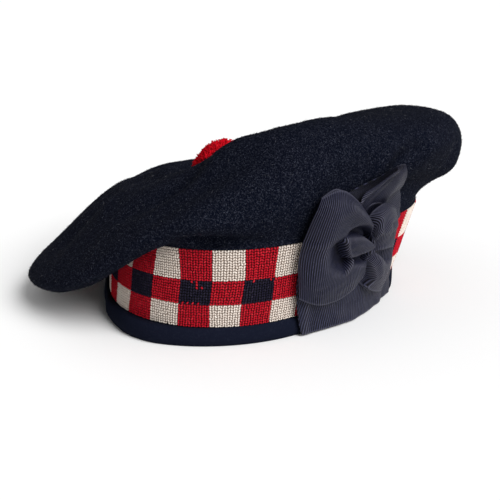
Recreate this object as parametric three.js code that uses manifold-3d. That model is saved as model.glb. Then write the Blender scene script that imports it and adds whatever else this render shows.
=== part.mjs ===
// Balmoral bonnet: a soft felted crown gathered on a diced band, with a bound lower edge, a red toorie on
// top and a black ribbon cockade on the wearer's left side. Millimetres, +Z up, front towards -Y,
// wearer's left towards +X.
import * as THREE from "three";
import { mergeVertices } from "three/addons/utils/BufferGeometryUtils.js";
import Module from "manifold-3d";

const wasm = await Module();
wasm.setup();

// Driving dimensions

const HEAD_GIRTH = 598; // round the outside of the band at the bottom of the dicing
const HEAD_OVAL = 0.064; // share by which the band is longer than it is wide
const HEAD_EGG = 0.079; // share by which the front is drawn to a point
const BAND_WALL = 2.6;
const BAND_FOOT = 1.8; // the band's lower edge, inside the binding
const DICE_FOOT = 10.7; // where the dicing comes out of the binding
const SEAM_HEIGHT = 56; // where the crown is sewn to the band
const SEAM_BULGE = 2;
const SAG_BEARING = 165; // the side where the hanging crown draws the top of the band down and inwards
const SAG_DROP = 8;
const SAG_TUCK = 10;
const BAND_LEAN = 0.11; // sideways shift of the band for each millimetre of height
const LEAN_BEARING = 20; // degrees from the wearer's left towards the back
const BAND_FLARE = 7; // how far the top of the band spreads on the side it leans to
const BINDING_WALL = 1.2;
const CROWN_WALL = 2.4;
const CROWN_NECK = 2; // upright edge of the crown along the seam
const SEAT_HEIGHT = 60; // the dimple that holds the toorie
const SEAT_REACH = 14;
const SEAT_SHIFT = [-13, 0];
const TOORIE_RADIUS = 20;
const TOORIE_HEIGHT = 35;
const RIBBON_WALL = 1;
const COCKADE_BEARING = -19.4; // where the bow is gathered, in degrees from the wearer's left
const GAP = 0.3; // left between neighbouring pieces
const ROUND_STEPS = 68; // two steps for each of the 34 diced columns

const degrees = THREE.MathUtils.degToRad;
const mix = THREE.MathUtils.lerp;

// Outline of the head opening

function headShape(bearing) {
  const fromFront = bearing + Math.PI / 2;
  return 1 + HEAD_OVAL * Math.cos(2 * fromFront) + HEAD_EGG * Math.cos(3 * fromFront);
}

function girthOfUnitHead() {
  let girth = 0;
  const steps = 720;
  const at = (i) => {
    const bearing = (2 * Math.PI * i) / steps;
    return new THREE.Vector2(Math.cos(bearing), Math.sin(bearing)).multiplyScalar(headShape(bearing));
  };
  for (let i = 0; i < steps; i++) girth += at(i).distanceTo(at(i + 1));
  return girth;
}

const HEAD_RADIUS = HEAD_GIRTH / girthOfUnitHead();

// 1 at the middle bearing, falling smoothly to 0 on the far side.
function swell(bearing, middle, power) {
  return ((1 + Math.cos(bearing - degrees(middle))) / 2) ** power;
}

// A point that stands out from the head's outline by bulge, on the leaning axis of the band.
function bandPoint(bearing, height, bulge) {
  const rise = Math.max(0, height - DICE_FOOT);
  const lean = BAND_LEAN * rise;
  const flare = (BAND_FLARE * swell(bearing, LEAN_BEARING, 4) * rise) / (SEAM_HEIGHT - DICE_FOOT);
  const reach = HEAD_RADIUS * headShape(bearing) + bulge + flare;
  return new THREE.Vector3(
    reach * Math.cos(bearing) + lean * Math.cos(degrees(LEAN_BEARING)),
    reach * Math.sin(bearing) + lean * Math.sin(degrees(LEAN_BEARING)),
    height,
  );
}

// The band's upper edge, where the crown is sewn on.
function seamPoint(bearing, rise, inset) {
  const share = swell(bearing, SAG_BEARING, 3);
  return bandPoint(bearing, SEAM_HEIGHT - SAG_DROP * share + rise, SEAM_BULGE - SAG_TUCK * share - inset);
}

// Meshes from grids of points

function indexedGeometry(points, index) {
  const geometry = new THREE.BufferGeometry().setFromPoints(points);
  geometry.setIndex(index);
  geometry.computeVertexNormals();
  return geometry;
}

// A ring solid: section(bearing) gives the closed section's points in order, outer face first and upwards.
function ringGeometry(section) {
  const rows = [];
  for (let i = 0; i < ROUND_STEPS; i++) rows.push(section((2 * Math.PI * i) / ROUND_STEPS));
  const across = rows[0].length;
  const index = [];
  for (let i = 0; i < ROUND_STEPS; i++) {
    const k = (i + 1) % ROUND_STEPS;
    for (let j = 0; j < across; j++) {
      const next = (j + 1) % across;
      const [a, b, c, d] = [i * across + j, k * across + j, k * across + next, i * across + next];
      index.push(a, b, c, a, c, d);
    }
  }
  return indexedGeometry(rows.flat(), index);
}

// A sheet of even thickness whose middle is the grid of points; columns may close on themselves.
function sheetGeometry(grid, thickness, closed) {
  const rows = grid.length;
  const across = grid[0].length;
  const last = across - 1;
  const rowAt = (i) => grid[closed ? (i + rows) % rows : THREE.MathUtils.clamp(i, 0, rows - 1)];
  const normalAt = (i, j) => {
    const along = new THREE.Vector3().subVectors(rowAt(i + 1)[j], rowAt(i - 1)[j]);
    const over = new THREE.Vector3().subVectors(grid[i][Math.min(j + 1, last)], grid[i][Math.max(j - 1, 0)]);
    return along.cross(over).normalize();
  };
  const moved = (i, j, off) => grid[i][j].clone().addScaledVector(normalAt(i, j), off);
  const face = (off) => grid.flatMap((row, i) => row.map((p, j) => moved(i, j, off)));
  const points = [...face(thickness / 2), ...face(-thickness / 2)];
  const back = rows * across;
  const index = [];
  const quad = (a, b, c, d) => index.push(a, b, c, a, c, d);
  for (let i = 0; i < (closed ? rows : rows - 1); i++) {
    const k = (i + 1) % rows;
    for (let j = 0; j < last; j++) {
      const [a, b, c, d] = [i * across + j, k * across + j, k * across + j + 1, i * across + j + 1];
      quad(a, b, c, d);
      quad(back + a, back + d, back + c, back + b);
    }
    quad(i * across, back + i * across, back + k * across, k * across);
    quad(k * across + last, back + k * across + last, back + i * across + last, i * across + last);
  }
  if (!closed) {
    for (let j = 0; j < last; j++) {
      const end = (rows - 1) * across + j;
      quad(j, j + 1, back + j + 1, back + j);
      quad(end, back + end, back + end + 1, end + 1);
    }
  }
  return indexedGeometry(points, index);
}

// Crown

// One row for each section of the crown, by bearing in degrees from the wearer's left towards the back.
// Each pair is a reach from the band's axis and a height: under is the middle of the underside, heel and rim
// the outer fold, flank and crest the roll above it, and dish the slope down to the toorie.
function crownSection(bearing, under, heel, rim, flank, crest, dish) {
  return { bearing, under, heel, rim, flank, crest, dish };
}

const CROWN_SECTIONS = [
  crownSection(0, [102, 75], [115, 86], [124, 100], [117, 111], [95, 115], [55, 102]),
  crownSection(30, [122, 62], [136.5, 72.5], [139.5, 91.5], [131, 106], [108, 111], [60, 96]),
  crownSection(60, [120, 57], [135, 67], [140, 80], [130, 93], [105, 99], [55, 84]),
  crownSection(90, [112, 52], [129, 50], [136, 58], [125, 69], [98, 75], [50, 68]),
  crownSection(120, [110, 44], [126, 36], [132, 43], [123, 53], [97, 63], [50, 63]),
  crownSection(150, [106, 34], [122, 21], [129, 28], [120, 39], [92, 60], [48, 62]),
  crownSection(180, [100, 28], [119, 12], [127, 19], [117, 30], [81, 60], [46, 64]),
  crownSection(210, [102, 25], [124, 10], [134, 15], [122, 29], [82, 63], [46, 75]),
  crownSection(240, [106, 33], [121, 24], [130, 30], [118, 46], [80, 76], [46, 84]),
  crownSection(270, [111, 60], [117, 61], [121, 68], [112, 79], [72, 92], [42, 82]),
  crownSection(300, [102, 61], [107, 70], [110, 81], [106, 97], [82, 114], [45, 97]),
  crownSection(330, [92, 62], [99, 74], [104, 88], [105, 104], [90, 118], [50, 105]),
];
// The share of the toorie's shift that each line of points takes, and the steps that lead up to it.
const CROWN_LINES = [
  { line: "under", pull: 0, steps: 2 },
  { line: "heel", pull: 0, steps: 2 },
  { line: "rim", pull: 0, steps: 3 },
  { line: "flank", pull: 0, steps: 3 },
  { line: "crest", pull: 0.3, steps: 3 },
  { line: "dish", pull: 0.7, steps: 3 },
  { line: "seat", pull: 1, steps: 2 },
  { line: "centre", pull: 1, steps: 1 },
];

// Catmull-Rom value between b and c.
function smoothBetween(a, b, c, d, share) {
  const linear = c - a;
  const square = 2 * a - 5 * b + 4 * c - d;
  const cube = -a + 3 * b - 3 * c + d;
  return b + 0.5 * share * (linear + share * (square + share * cube));
}

// Reach and height of one line of the crown at any bearing.
function crownPair(line, bearing) {
  if (line === "seat") return [SEAT_REACH, SEAT_HEIGHT];
  if (line === "centre") return [0, SEAT_HEIGHT];
  const count = CROWN_SECTIONS.length;
  const place = (bearing / (2 * Math.PI)) * count;
  const row = Math.floor(place);
  const near = [-1, 0, 1, 2].map((k) => CROWN_SECTIONS[(row + k + count) % count][line]);
  return [0, 1].map((axis) => smoothBetween(...near.map((pair) => pair[axis]), place - row));
}

function crownProfile(bearing) {
  const seam = seamPoint(bearing, GAP, 0);
  const knots = [seam, seam.clone().add(new THREE.Vector3(0, 0, CROWN_NECK))];
  for (const { line, pull } of CROWN_LINES) {
    const [reach, height] = crownPair(line, bearing);
    const x = reach * Math.cos(bearing) + pull * SEAT_SHIFT[0];
    const y = reach * Math.sin(bearing) + pull * SEAT_SHIFT[1];
    knots.push(new THREE.Vector3(x, y, height));
  }
  const curve = new THREE.CatmullRomCurve3(knots);
  const points = [knots[0], knots[1]];
  CROWN_LINES.forEach(({ steps }, segment) => {
    for (let k = 1; k <= steps; k++) {
      points.push(curve.getPoint((segment + 1 + k / steps) / (knots.length - 1)));
    }
  });
  return points;
}

// A bag closed under the toorie and open at the seam, with its wall inside the outer face.
function crownGeometry() {
  const outer = [];
  for (let i = 0; i < ROUND_STEPS; i++) outer.push(crownProfile((2 * Math.PI * i) / ROUND_STEPS));
  const last = outer[0].length - 1;
  const up = new THREE.Vector3(0, 0, 1);
  const normalAt = (i, j) => {
    if (j === last) return up;
    const along = new THREE.Vector3().subVectors(outer[i][j + 1], outer[i][Math.max(j - 1, 0)]);
    const after = outer[(i + 1) % ROUND_STEPS][j];
    const before = outer[(i + ROUND_STEPS - 1) % ROUND_STEPS][j];
    return new THREE.Vector3().subVectors(after, before).cross(along).normalize();
  };
  const innerPoint = (i, j) => outer[i][j].clone().addScaledVector(normalAt(i, j), -CROWN_WALL);
  const inner = outer.map((row, i) => row.map((p, j) => innerPoint(i, j)));
  const below = (rows) => rows.flatMap((row) => row.slice(0, last));
  const points = [...below(outer), ...below(inner)];
  const innerStart = ROUND_STEPS * last;
  const outerPole = points.push(outer[0][last]) - 1;
  const innerPole = points.push(inner[0][last]) - 1;
  const index = [];
  const quad = (a, b, c, d) => index.push(a, b, c, a, c, d);
  for (let i = 0; i < ROUND_STEPS; i++) {
    const k = (i + 1) % ROUND_STEPS;
    for (let j = 0; j < last - 1; j++) {
      const [a, b, c, d] = [i * last + j, k * last + j, k * last + j + 1, i * last + j + 1];
      quad(a, b, c, d);
      quad(innerStart + a, innerStart + d, innerStart + c, innerStart + b);
    }
    const [topA, topB] = [i * last + last - 1, k * last + last - 1];
    index.push(topA, topB, outerPole, innerStart + topB, innerStart + topA, innerPole);
    quad(i * last, innerStart + i * last, innerStart + k * last, k * last);
  }
  return indexedGeometry(points, index);
}

// Diced band

// How far the band's outer face stands out from the head's outline at each height below the seam.
const BAND_SECTION = [
  { height: BAND_FOOT, bulge: -0.4 },
  { height: DICE_FOOT, bulge: 0 },
  { height: 24, bulge: 0.9 },
  { height: 38, bulge: 1.2 },
];

function bandGeometry() {
  return ringGeometry((bearing) => {
    const face = (inset) => BAND_SECTION.map((s) => bandPoint(bearing, s.height, s.bulge - inset));
    const outside = [...face(0), seamPoint(bearing, 0, 0)];
    const inside = [...face(BAND_WALL), seamPoint(bearing, 0, BAND_WALL)];
    return [...outside, ...inside.reverse()];
  });
}

// Edge band

// The binding is folded under the band's lower edge, with a soft welt on the outside.
const BINDING_FACE = [
  { height: 0, bulge: 1.8 },
  { height: 2.5, bulge: 3.1 },
  { height: 6, bulge: 3.3 },
  { height: 9.5, bulge: 2.4 },
  { height: DICE_FOOT, bulge: 1.3 },
];
const BINDING_INSIDE_TOP = 12;
// The welt is pushed out at the front and under the hanging crown, and pressed flat under the ribbon.
const WELT_SPREAD = [
  { out: 4, bearing: 255, power: 40 },
  { out: 1.2, bearing: 195, power: 10 },
  { out: -1.3, bearing: 286, power: 40 },
];
const WELT_PRESS = { share: 0.9, bearing: 15, power: 8 };
const WELT_LEAST = GAP + 0.6; // bulge of the bare binding, laid flat on the band

function weltBulge(bearing, bulge) {
  const spread = WELT_SPREAD.reduce((sum, s) => sum + s.out * swell(bearing, s.bearing, s.power), 0);
  const press = WELT_PRESS.share * swell(bearing, WELT_PRESS.bearing, WELT_PRESS.power);
  return mix(bulge + spread, WELT_LEAST, press);
}

function edgeGeometry() {
  const inner = BAND_SECTION[0].bulge - BAND_WALL;
  return ringGeometry((bearing) => [
    ...BINDING_FACE.map((s) => bandPoint(bearing, s.height, weltBulge(bearing, s.bulge))),
    bandPoint(bearing, DICE_FOOT, GAP),
    bandPoint(bearing, BAND_FOOT, GAP),
    bandPoint(bearing, BAND_FOOT - GAP, inner - GAP),
    bandPoint(bearing, BINDING_INSIDE_TOP, inner - GAP),
    bandPoint(bearing, BINDING_INSIDE_TOP, inner - GAP - BINDING_WALL),
    bandPoint(bearing, 0, inner - GAP - BINDING_WALL),
  ]);
}

// Toorie

const LOCK = { count: 36, rootRadius: 5.2, tipRadius: 3.3, length: 7, sides: 5 };

function solidOf(geometry) {
  geometry.deleteAttribute("normal");
  geometry.deleteAttribute("uv");
  const whole = mergeVertices(geometry, 1e-4);
  const vertProperties = Float32Array.from(whole.attributes.position.array);
  const mesh = new wasm.Mesh({ numProp: 3, vertProperties, triVerts: Uint32Array.from(whole.index.array) });
  return new wasm.Manifold(mesh);
}

function geometryOf(solid) {
  const mesh = solid.getMesh();
  const geometry = new THREE.BufferGeometry();
  geometry.setAttribute("position", new THREE.BufferAttribute(mesh.vertProperties, 3));
  geometry.setIndex(new THREE.BufferAttribute(mesh.triVerts, 1));
  geometry.computeVertexNormals();
  return geometry;
}

// Yarn locks stand all round a head, evenly spread along a spiral, and the underside is cut flat.
function toorieGeometry() {
  const core = TOORIE_RADIUS - LOCK.length * 0.3;
  const locks = [];
  const goldenTurn = Math.PI * (3 - Math.sqrt(5));
  for (let i = 0; i < LOCK.count; i++) {
    const rise = 1 - (2 * (i + 0.5)) / LOCK.count;
    const ring = Math.sqrt(1 - rise * rise);
    const outward = new THREE.Vector3(ring * Math.cos(goldenTurn * i), ring * Math.sin(goldenTurn * i), rise);
    const lock = new THREE.CylinderGeometry(LOCK.tipRadius, LOCK.rootRadius, LOCK.length, LOCK.sides, 1);
    lock.applyQuaternion(new THREE.Quaternion().setFromUnitVectors(new THREE.Vector3(0, 1, 0), outward));
    lock.translate(...outward.multiplyScalar(TOORIE_RADIUS - LOCK.length / 2).toArray());
    locks.push(solidOf(lock));
  }
  const ball = wasm.Manifold.union([solidOf(new THREE.IcosahedronGeometry(core, 2)), ...locks]);
  const base = TOORIE_RADIUS - TOORIE_HEIGHT;
  const below = new THREE.BoxGeometry(60, 60, 20).translate(0, 0, base - 10);
  const cut = wasm.Manifold.difference(ball, solidOf(below));
  return geometryOf(cut).translate(...SEAT_SHIFT, SEAT_HEIGHT + GAP - base);
}

// Cockade

// The ribbon hangs from the crown over the binding: its two edges, along the band from the gather.
const BACKING_EDGES = [
  { height: 0.6, left: -50, right: 46 },
  { height: 7, left: -51.5, right: 47 },
  { height: 17, left: -53, right: 42 },
  { height: 31, left: -54, right: 33.5 },
  { height: 54, left: -51, right: 27 },
  { height: 64, left: -48, right: 24 },
  { height: 73, left: -43, right: 18 },
  { height: 84, left: -26, right: 8 },
  { height: 89, left: -10, right: 6 },
  { height: 94.5, left: -1, right: 3.5 },
];
const BACKING_STEPS = 11; // across the ribbon
const BACKING_ROWS = 16; // up its height
// The ribbon's middle hangs clear of the welt on the left, and close to the band on the right.
const HANG = { left: 4.5, right: 2.4, rise: 0.02, turn: 30 };
const FOOT_FLARE = { out: 5, height: 40, left: -53, right: 33 }; // the lower end stands away from the band
const RIBBON_CLEARANCE = RIBBON_WALL / 2 + 1.5;

// The crown's outer reach at a height, on the part of its profile from the seam up to the rim.
function crownReach(bearing, height) {
  const reachOf = (p) => Math.hypot(p.x, p.y);
  const rimStep = 1 + CROWN_LINES[0].steps + CROWN_LINES[1].steps + CROWN_LINES[2].steps;
  const side = crownProfile(bearing).slice(0, rimStep + 1);
  const next = side.findIndex((p) => p.z >= height);
  if (next < 0) return reachOf(side.at(-1));
  if (next === 0) return 0;
  const share = (height - side[next - 1].z) / (side[next].z - side[next - 1].z);
  return mix(reachOf(side[next - 1]), reachOf(side[next]), share);
}

// A point of the cockade: along the band from the gather, at a height, and off the backing's middle.
function cockadePoint(along, height, off) {
  const bearing = degrees(COCKADE_BEARING + 360) + along / HEAD_RADIUS;
  const { left, right } = FOOT_FLARE;
  const middle = along > right ? 0 : Math.max(0, Math.sin((Math.PI * (along - left)) / (right - left)));
  const flare = FOOT_FLARE.out * middle * Math.max(0, 1 - height / FOOT_FLARE.height) ** 2;
  const close = THREE.MathUtils.smoothstep(along, 0, HANG.turn);
  const hang = bandPoint(bearing, height, mix(HANG.left, HANG.right + HANG.rise * height, close) + flare);
  const reach = Math.max(Math.hypot(hang.x, hang.y), crownReach(bearing, height) + RIBBON_CLEARANCE) + off;
  return new THREE.Vector3(reach * Math.cos(bearing), reach * Math.sin(bearing), height);
}

function backingEdges(height) {
  const next = Math.max(1, BACKING_EDGES.findIndex((s) => s.height >= height));
  const [low, high] = [BACKING_EDGES[next - 1], BACKING_EDGES[next]];
  const share = (height - low.height) / (high.height - low.height);
  return { left: mix(low.left, high.left, share), right: mix(low.right, high.right, share) };
}

function backingGeometry() {
  const [foot, head] = [BACKING_EDGES[0].height, BACKING_EDGES.at(-1).height];
  const grid = [];
  for (let i = 0; i <= BACKING_STEPS; i++) {
    const column = [];
    for (let j = 0; j <= BACKING_ROWS; j++) {
      const height = mix(foot, head, j / BACKING_ROWS);
      const { left, right } = backingEdges(height);
      column.push(cockadePoint(mix(left, right, i / BACKING_STEPS), height, 0));
    }
    grid.push(column);
  }
  return sheetGeometry(grid, RIBBON_WALL, false);
}

// One row for each section of the bow's front, from the left loop's end to the right loop's: its place along
// the band at the foot and at the head, the heights of the two edges, and how far it is off the backing.
const BOW_SECTIONS = [
  { alongFoot: -53, alongHead: -46, foot: 23, head: 83, loft: 3 },
  { alongFoot: -50, alongHead: -42, foot: 19.5, head: 86, loft: 9 },
  { alongFoot: -32, alongHead: -28, foot: 20, head: 78, loft: 12 },
  { alongFoot: -14, alongHead: -17, foot: 28, head: 66, loft: 11 },
  { alongFoot: -8, alongHead: -9, foot: 40, head: 54, loft: 7 },
  { alongFoot: -5, alongHead: -8.5, foot: 29, head: 66, loft: 9 },
  { alongFoot: 5, alongHead: -6, foot: 18, head: 73, loft: 10 },
  { alongFoot: 18, alongHead: 2, foot: 12, head: 73, loft: 8 },
  { alongFoot: 23, alongHead: 6, foot: 11, head: 71, loft: 2.8 },
];
const BOW = { across: 8, stepsBetween: 2, backSteps: 10, backOff: 2.4 };
const PLEAT = { waves: 2.5, depth: 2.2, length: 16 }; // waves across the ribbon that fade from the gather

// The value of one column of the bow's table at a place counted in rows.
function bowValue(column, place) {
  const last = BOW_SECTIONS.length - 1;
  const row = Math.min(Math.floor(place), last - 1);
  const near = [-1, 0, 1, 2].map((k) => BOW_SECTIONS[THREE.MathUtils.clamp(row + k, 0, last)][column]);
  return smoothBetween(...near, place - row);
}

// A ring of ribbon flattened against the backing and pinched at the gather, with pleats that run out from it.
function bowGeometry() {
  const row = (place, front) => {
    const points = [];
    for (let j = 0; j <= BOW.across; j++) {
      const share = j / BOW.across;
      const along = mix(bowValue("alongFoot", place), bowValue("alongHead", place), share);
      const height = mix(bowValue("foot", place), bowValue("head", place), share);
      const edge = 2 * share - 1;
      const fade = Math.exp(-Math.abs(along) / PLEAT.length);
      const pleat = PLEAT.depth * Math.cos(PLEAT.waves * Math.PI * edge) * fade;
      const off = front ? bowValue("loft", place) * (1 - 0.3 * edge * edge) + pleat : BOW.backOff;
      points.push(cockadePoint(along, height, off));
    }
    return points;
  };
  const grid = [];
  const last = BOW_SECTIONS.length - 1;
  for (let i = 0; i <= last * BOW.stepsBetween; i++) grid.push(row(i / BOW.stepsBetween, true));
  for (let i = 0; i < BOW.backSteps; i++) {
    grid.push(row(mix(last - 0.3, 0.3, i / (BOW.backSteps - 1)), false));
  }
  return sheetGeometry(grid, RIBBON_WALL, true);
}

// Assembly

const wool = new THREE.MeshStandardMaterial({ color: 0x12151f, roughness: 0.95 });
const dicing = new THREE.MeshStandardMaterial({ color: 0xa8162a, roughness: 0.9 });
const binding = new THREE.MeshStandardMaterial({ color: 0x0d0f17, roughness: 0.8 });
const yarn = new THREE.MeshStandardMaterial({ color: 0xc01a2e, roughness: 0.95 });
const grosgrain = new THREE.MeshStandardMaterial({ color: 0x2c2c34, roughness: 0.75 });

function piece(name, geometry, material) {
  const mesh = new THREE.Mesh(geometry, material);
  mesh.name = name;
  return mesh;
}

const bonnet = new THREE.Group();
bonnet.add(piece("crown", crownGeometry(), wool));
bonnet.add(piece("diced_band", bandGeometry(), dicing));
bonnet.add(piece("edge_band", edgeGeometry(), binding));
bonnet.add(piece("toorie", toorieGeometry(), yarn));
bonnet.add(piece("cockade_backing", backingGeometry(), grosgrain));
bonnet.add(piece("cockade_bow", bowGeometry(), grosgrain.clone()));

// The origin is under the middle of the bonnet's outline, on the surface that it rests on.
const middle = new THREE.Box3().setFromObject(bonnet).getCenter(new THREE.Vector3());
bonnet.position.set(-middle.x, -middle.y, 0);

export default bonnet;
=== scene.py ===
# %% [markdown]
# # A balmoral bonnet
# This lesson dresses a bonnet that was first drawn as plain solids. The solids give every size and place, and
# this file gives the looks: felted wool, a knitted diced band, a plain binding, a yarn toorie and a ribbon
# cockade. Each shape is a formula on a whole array of numbers, so one named value moves all that follows it.
# Lengths are in millimetres until a mesh is made, because that is how a maker measures a hat.

import math

import bpy
import numpy as np
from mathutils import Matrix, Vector


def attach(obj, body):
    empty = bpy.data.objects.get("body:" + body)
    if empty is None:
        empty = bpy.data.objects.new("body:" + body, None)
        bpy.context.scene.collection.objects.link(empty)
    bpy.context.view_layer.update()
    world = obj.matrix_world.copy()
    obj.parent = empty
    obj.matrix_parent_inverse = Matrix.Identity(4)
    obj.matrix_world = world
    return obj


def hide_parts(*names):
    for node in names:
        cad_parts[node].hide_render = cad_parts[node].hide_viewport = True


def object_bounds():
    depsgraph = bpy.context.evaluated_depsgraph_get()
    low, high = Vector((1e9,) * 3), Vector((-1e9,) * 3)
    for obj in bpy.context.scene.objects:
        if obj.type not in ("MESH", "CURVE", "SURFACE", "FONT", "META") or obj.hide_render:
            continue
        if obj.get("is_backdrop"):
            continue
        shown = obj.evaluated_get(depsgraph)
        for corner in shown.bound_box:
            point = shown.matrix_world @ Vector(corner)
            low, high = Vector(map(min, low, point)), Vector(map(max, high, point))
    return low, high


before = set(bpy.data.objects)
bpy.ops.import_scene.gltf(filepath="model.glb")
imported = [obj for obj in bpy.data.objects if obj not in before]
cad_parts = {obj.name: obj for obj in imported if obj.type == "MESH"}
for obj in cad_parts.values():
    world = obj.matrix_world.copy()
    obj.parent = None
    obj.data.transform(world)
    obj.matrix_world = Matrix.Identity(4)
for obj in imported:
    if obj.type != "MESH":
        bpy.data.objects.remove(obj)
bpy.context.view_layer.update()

# %% [markdown]
# ## The head opening
# The band follows the wearer's head, so everything else is measured from that outline. It is an oval drawn to
# a point at the front. A plain ellipse would do, but the real band, standing by itself, is egg-shaped.
# Bearings are angles seen from above: 0 is the wearer's left, 90 degrees the back, 270 degrees the front.

# %% Head outline
MM = 0.001
BAND_AXIS = np.array([-0.536, -6.887, 0.0])  # where the band's axis stands in the solids' frame
HEAD_GIRTH = 598.0  # round the outside of the band
HEAD_OVAL = 0.064
HEAD_EGG = 0.079
OUTLINE_STEPS = 3600


def head_shape(bearing):
    """One, plus an oval share that repeats twice a turn and an egg share that repeats three times."""
    from_front = bearing + math.pi / 2
    return 1 + HEAD_OVAL * np.cos(2 * from_front) + HEAD_EGG * np.cos(3 * from_front)


turn = np.linspace(0, 2 * np.pi, OUTLINE_STEPS + 1)
unit_outline = head_shape(turn)[:, None] * np.stack([np.cos(turn), np.sin(turn)], 1)
unit_steps = np.linalg.norm(np.diff(unit_outline, axis=0), axis=1)
HEAD_RADIUS = HEAD_GIRTH / unit_steps.sum()
arc_to = np.concatenate([[0.0], np.cumsum(unit_steps)]) * HEAD_RADIUS
print("mean head radius", round(HEAD_RADIUS, 2), "mm")

# %% [markdown]
# ## The leaning band
# The band stands almost upright, but the soft crown pulls its top over to one side and draws the seam down on
# the other. Both are written as a swell: a smooth hump that is 1 at one bearing and 0 on the far side. The
# higher its power, the narrower the hump.

# %% Band formulas
DICE_FOOT = 10.7  # height of the lowest squares' lower edge
SEAM_HEIGHT = 56.0
SEAM_BULGE = 2.0
SAG_BEARING = 165
SAG_POWER = 3
SAG_DROP = 8.0  # how far the seam is drawn down there
SAG_TUCK = 10.0  # and how far in
BAND_LEAN = 0.11  # sideways for each millimetre of height
LEAN_BEARING = 20
BAND_FLARE = 7.0
FLARE_POWER = 4


def swell(bearing, middle, power):
    """A hump round the middle bearing, in degrees: half of one plus the cosine, raised to a power."""
    return ((1 + np.cos(bearing - math.radians(middle))) / 2) ** power


def band_point(bearing, height, bulge):
    """The head outline pushed out by bulge and by the flare, then shifted in proportion to height."""
    bearing, height, bulge = np.broadcast_arrays(bearing, height, bulge)
    rise = np.maximum(0, height - DICE_FOOT)
    flare = BAND_FLARE * swell(bearing, LEAN_BEARING, FLARE_POWER) * rise / (SEAM_HEIGHT - DICE_FOOT)
    reach = HEAD_RADIUS * head_shape(bearing) + bulge + flare
    lean_to = math.radians(LEAN_BEARING)
    x = reach * np.cos(bearing) + BAND_LEAN * rise * math.cos(lean_to)
    y = reach * np.sin(bearing) + BAND_LEAN * rise * math.sin(lean_to)
    return np.stack([x, y, height], -1)


def seam_point(bearing, rise, inset):
    """The band's upper edge, which sags by its drop and tuck on the side that the crown hangs to."""
    share = swell(bearing, SAG_BEARING, SAG_POWER)
    height = SEAM_HEIGHT - SAG_DROP * share + rise
    return band_point(bearing, height, SEAM_BULGE - SAG_TUCK * share - inset)


seam_height = seam_point(turn, 0.0, 0.0)[:, 2]
print("the seam is", round(seam_height.min(), 1), "to", round(seam_height.max(), 1), "mm high")

# %% [markdown]
# ## Smooth curves
# Cloth has few corners, so a shape is given by a few knots with a curve drawn through them. Blender's own
# curves could do it, but here whole families of curves are wanted at once, as arrays. The slopes depend on
# the gaps between knots, which keeps a curve from overshooting where two knots lie close together.

# %% Curves through knots
def smooth_path(knots, places):
    """A smooth curve through each row of knots, read at places counted in knots.

    Each stretch between two knots is a cubic whose end slopes come from the knots before and after, weighted
    by the square roots of the gaps between them. The ends go on straight.
    """
    first = 2 * knots[..., :1, :] - knots[..., 1:2, :]
    last = 2 * knots[..., -1:, :] - knots[..., -2:-1, :]
    k = np.concatenate([first, knots, last], -2)
    stretch = np.clip(np.floor(places).astype(int), 0, knots.shape[-2] - 2)
    t = (places - stretch)[:, None]
    p = [k[..., stretch + i, :] for i in range(4)]
    gap = [np.sqrt(np.linalg.norm(p[i + 1] - p[i], axis=-1, keepdims=True)) + 1e-6 for i in range(3)]
    slope_in = (p[1] - p[0]) / gap[0] - (p[2] - p[0]) / (gap[0] + gap[1]) + (p[2] - p[1]) / gap[1]
    slope_out = (p[2] - p[1]) / gap[1] - (p[3] - p[1]) / (gap[1] + gap[2]) + (p[3] - p[2]) / gap[2]
    slope_in = slope_in * gap[1]
    slope_out = slope_out * gap[1]
    square = -3 * p[1] + 3 * p[2] - 2 * slope_in - slope_out
    cube = 2 * p[1] - 2 * p[2] + slope_in + slope_out
    return p[1] + t * (slope_in + t * (square + t * cube))


# %% [markdown]
# ## From grids to meshes
# Every piece is a grid of points: rows along one parameter and columns along the other. A grid becomes quads
# by joining each point to the next in its row and column, a ring is a grid whose last row joins its first,
# and a pole is closed by a fan of triangles. Each piece stands for one of the solids, which it hides.

# %% Faces of a grid
def grid_quads(rows, columns, wrap_rows=False, wrap_columns=False):
    """Corner numbers of every cell of a grid of points, with either direction closed on itself if asked."""
    i = np.arange(rows if wrap_rows else rows - 1)[:, None]
    j = np.arange(columns if wrap_columns else columns - 1)[None, :]
    k = (i + 1) % rows
    m = (j + 1) % columns
    corners = np.broadcast_arrays(i * columns + j, k * columns + j, k * columns + m, i * columns + m)
    return np.stack(corners, -1).reshape(-1, 4)


def fan(ring, pole):
    """Triangles from each point of a closed ring and the next one to a pole."""
    return np.stack([ring, np.roll(ring, -1), np.full_like(ring, pole)], 1)


def grid_normals(grid, wrap_rows=False):
    """Unit normals of a grid of points: the cross product of its two directions of travel."""
    along = np.gradient(grid, axis=0)
    if wrap_rows:
        along = (np.roll(grid, -1, 0) - np.roll(grid, 1, 0)) / 2
    across = np.gradient(grid, axis=1)
    normal = np.cross(along, across)
    return normal / np.maximum(np.linalg.norm(normal, axis=-1, keepdims=True), 1e-9)


# %% Pieces
def add_piece(name, points, faces, material, node):
    """A smooth mesh object at the origin, its place in its points, that rides the bonnet's one body."""
    mesh = bpy.data.meshes.new(name)
    mesh.from_pydata(((points + BAND_AXIS) * MM).tolist(), [], faces)
    mesh.update()
    mesh.shade_smooth()
    mesh.materials.append(material)
    piece = bpy.data.objects.new(name, mesh)
    bpy.context.scene.collection.objects.link(piece)
    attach(piece, "root")
    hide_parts(node)
    triangles = len(mesh.loops) - 2 * len(mesh.polygons)
    print(name, "has", len(points), "points and", triangles, "triangles")
    return piece


def carry_value(piece, name, values):
    """Stores one number for each point of a piece, for its material to read."""
    store = piece.data.attributes.new(name, "FLOAT", "POINT")
    store.data.foreach_set("value", np.asarray(values, np.float32).ravel())


# %% [markdown]
# ## Helpers for materials
# A material is a tree of nodes. Adding nodes one by one takes many lines, so the kinds that come up again and
# again get a short helper: a noise, a ramp from one range to another, a mix of two colours, a bump.

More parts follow.
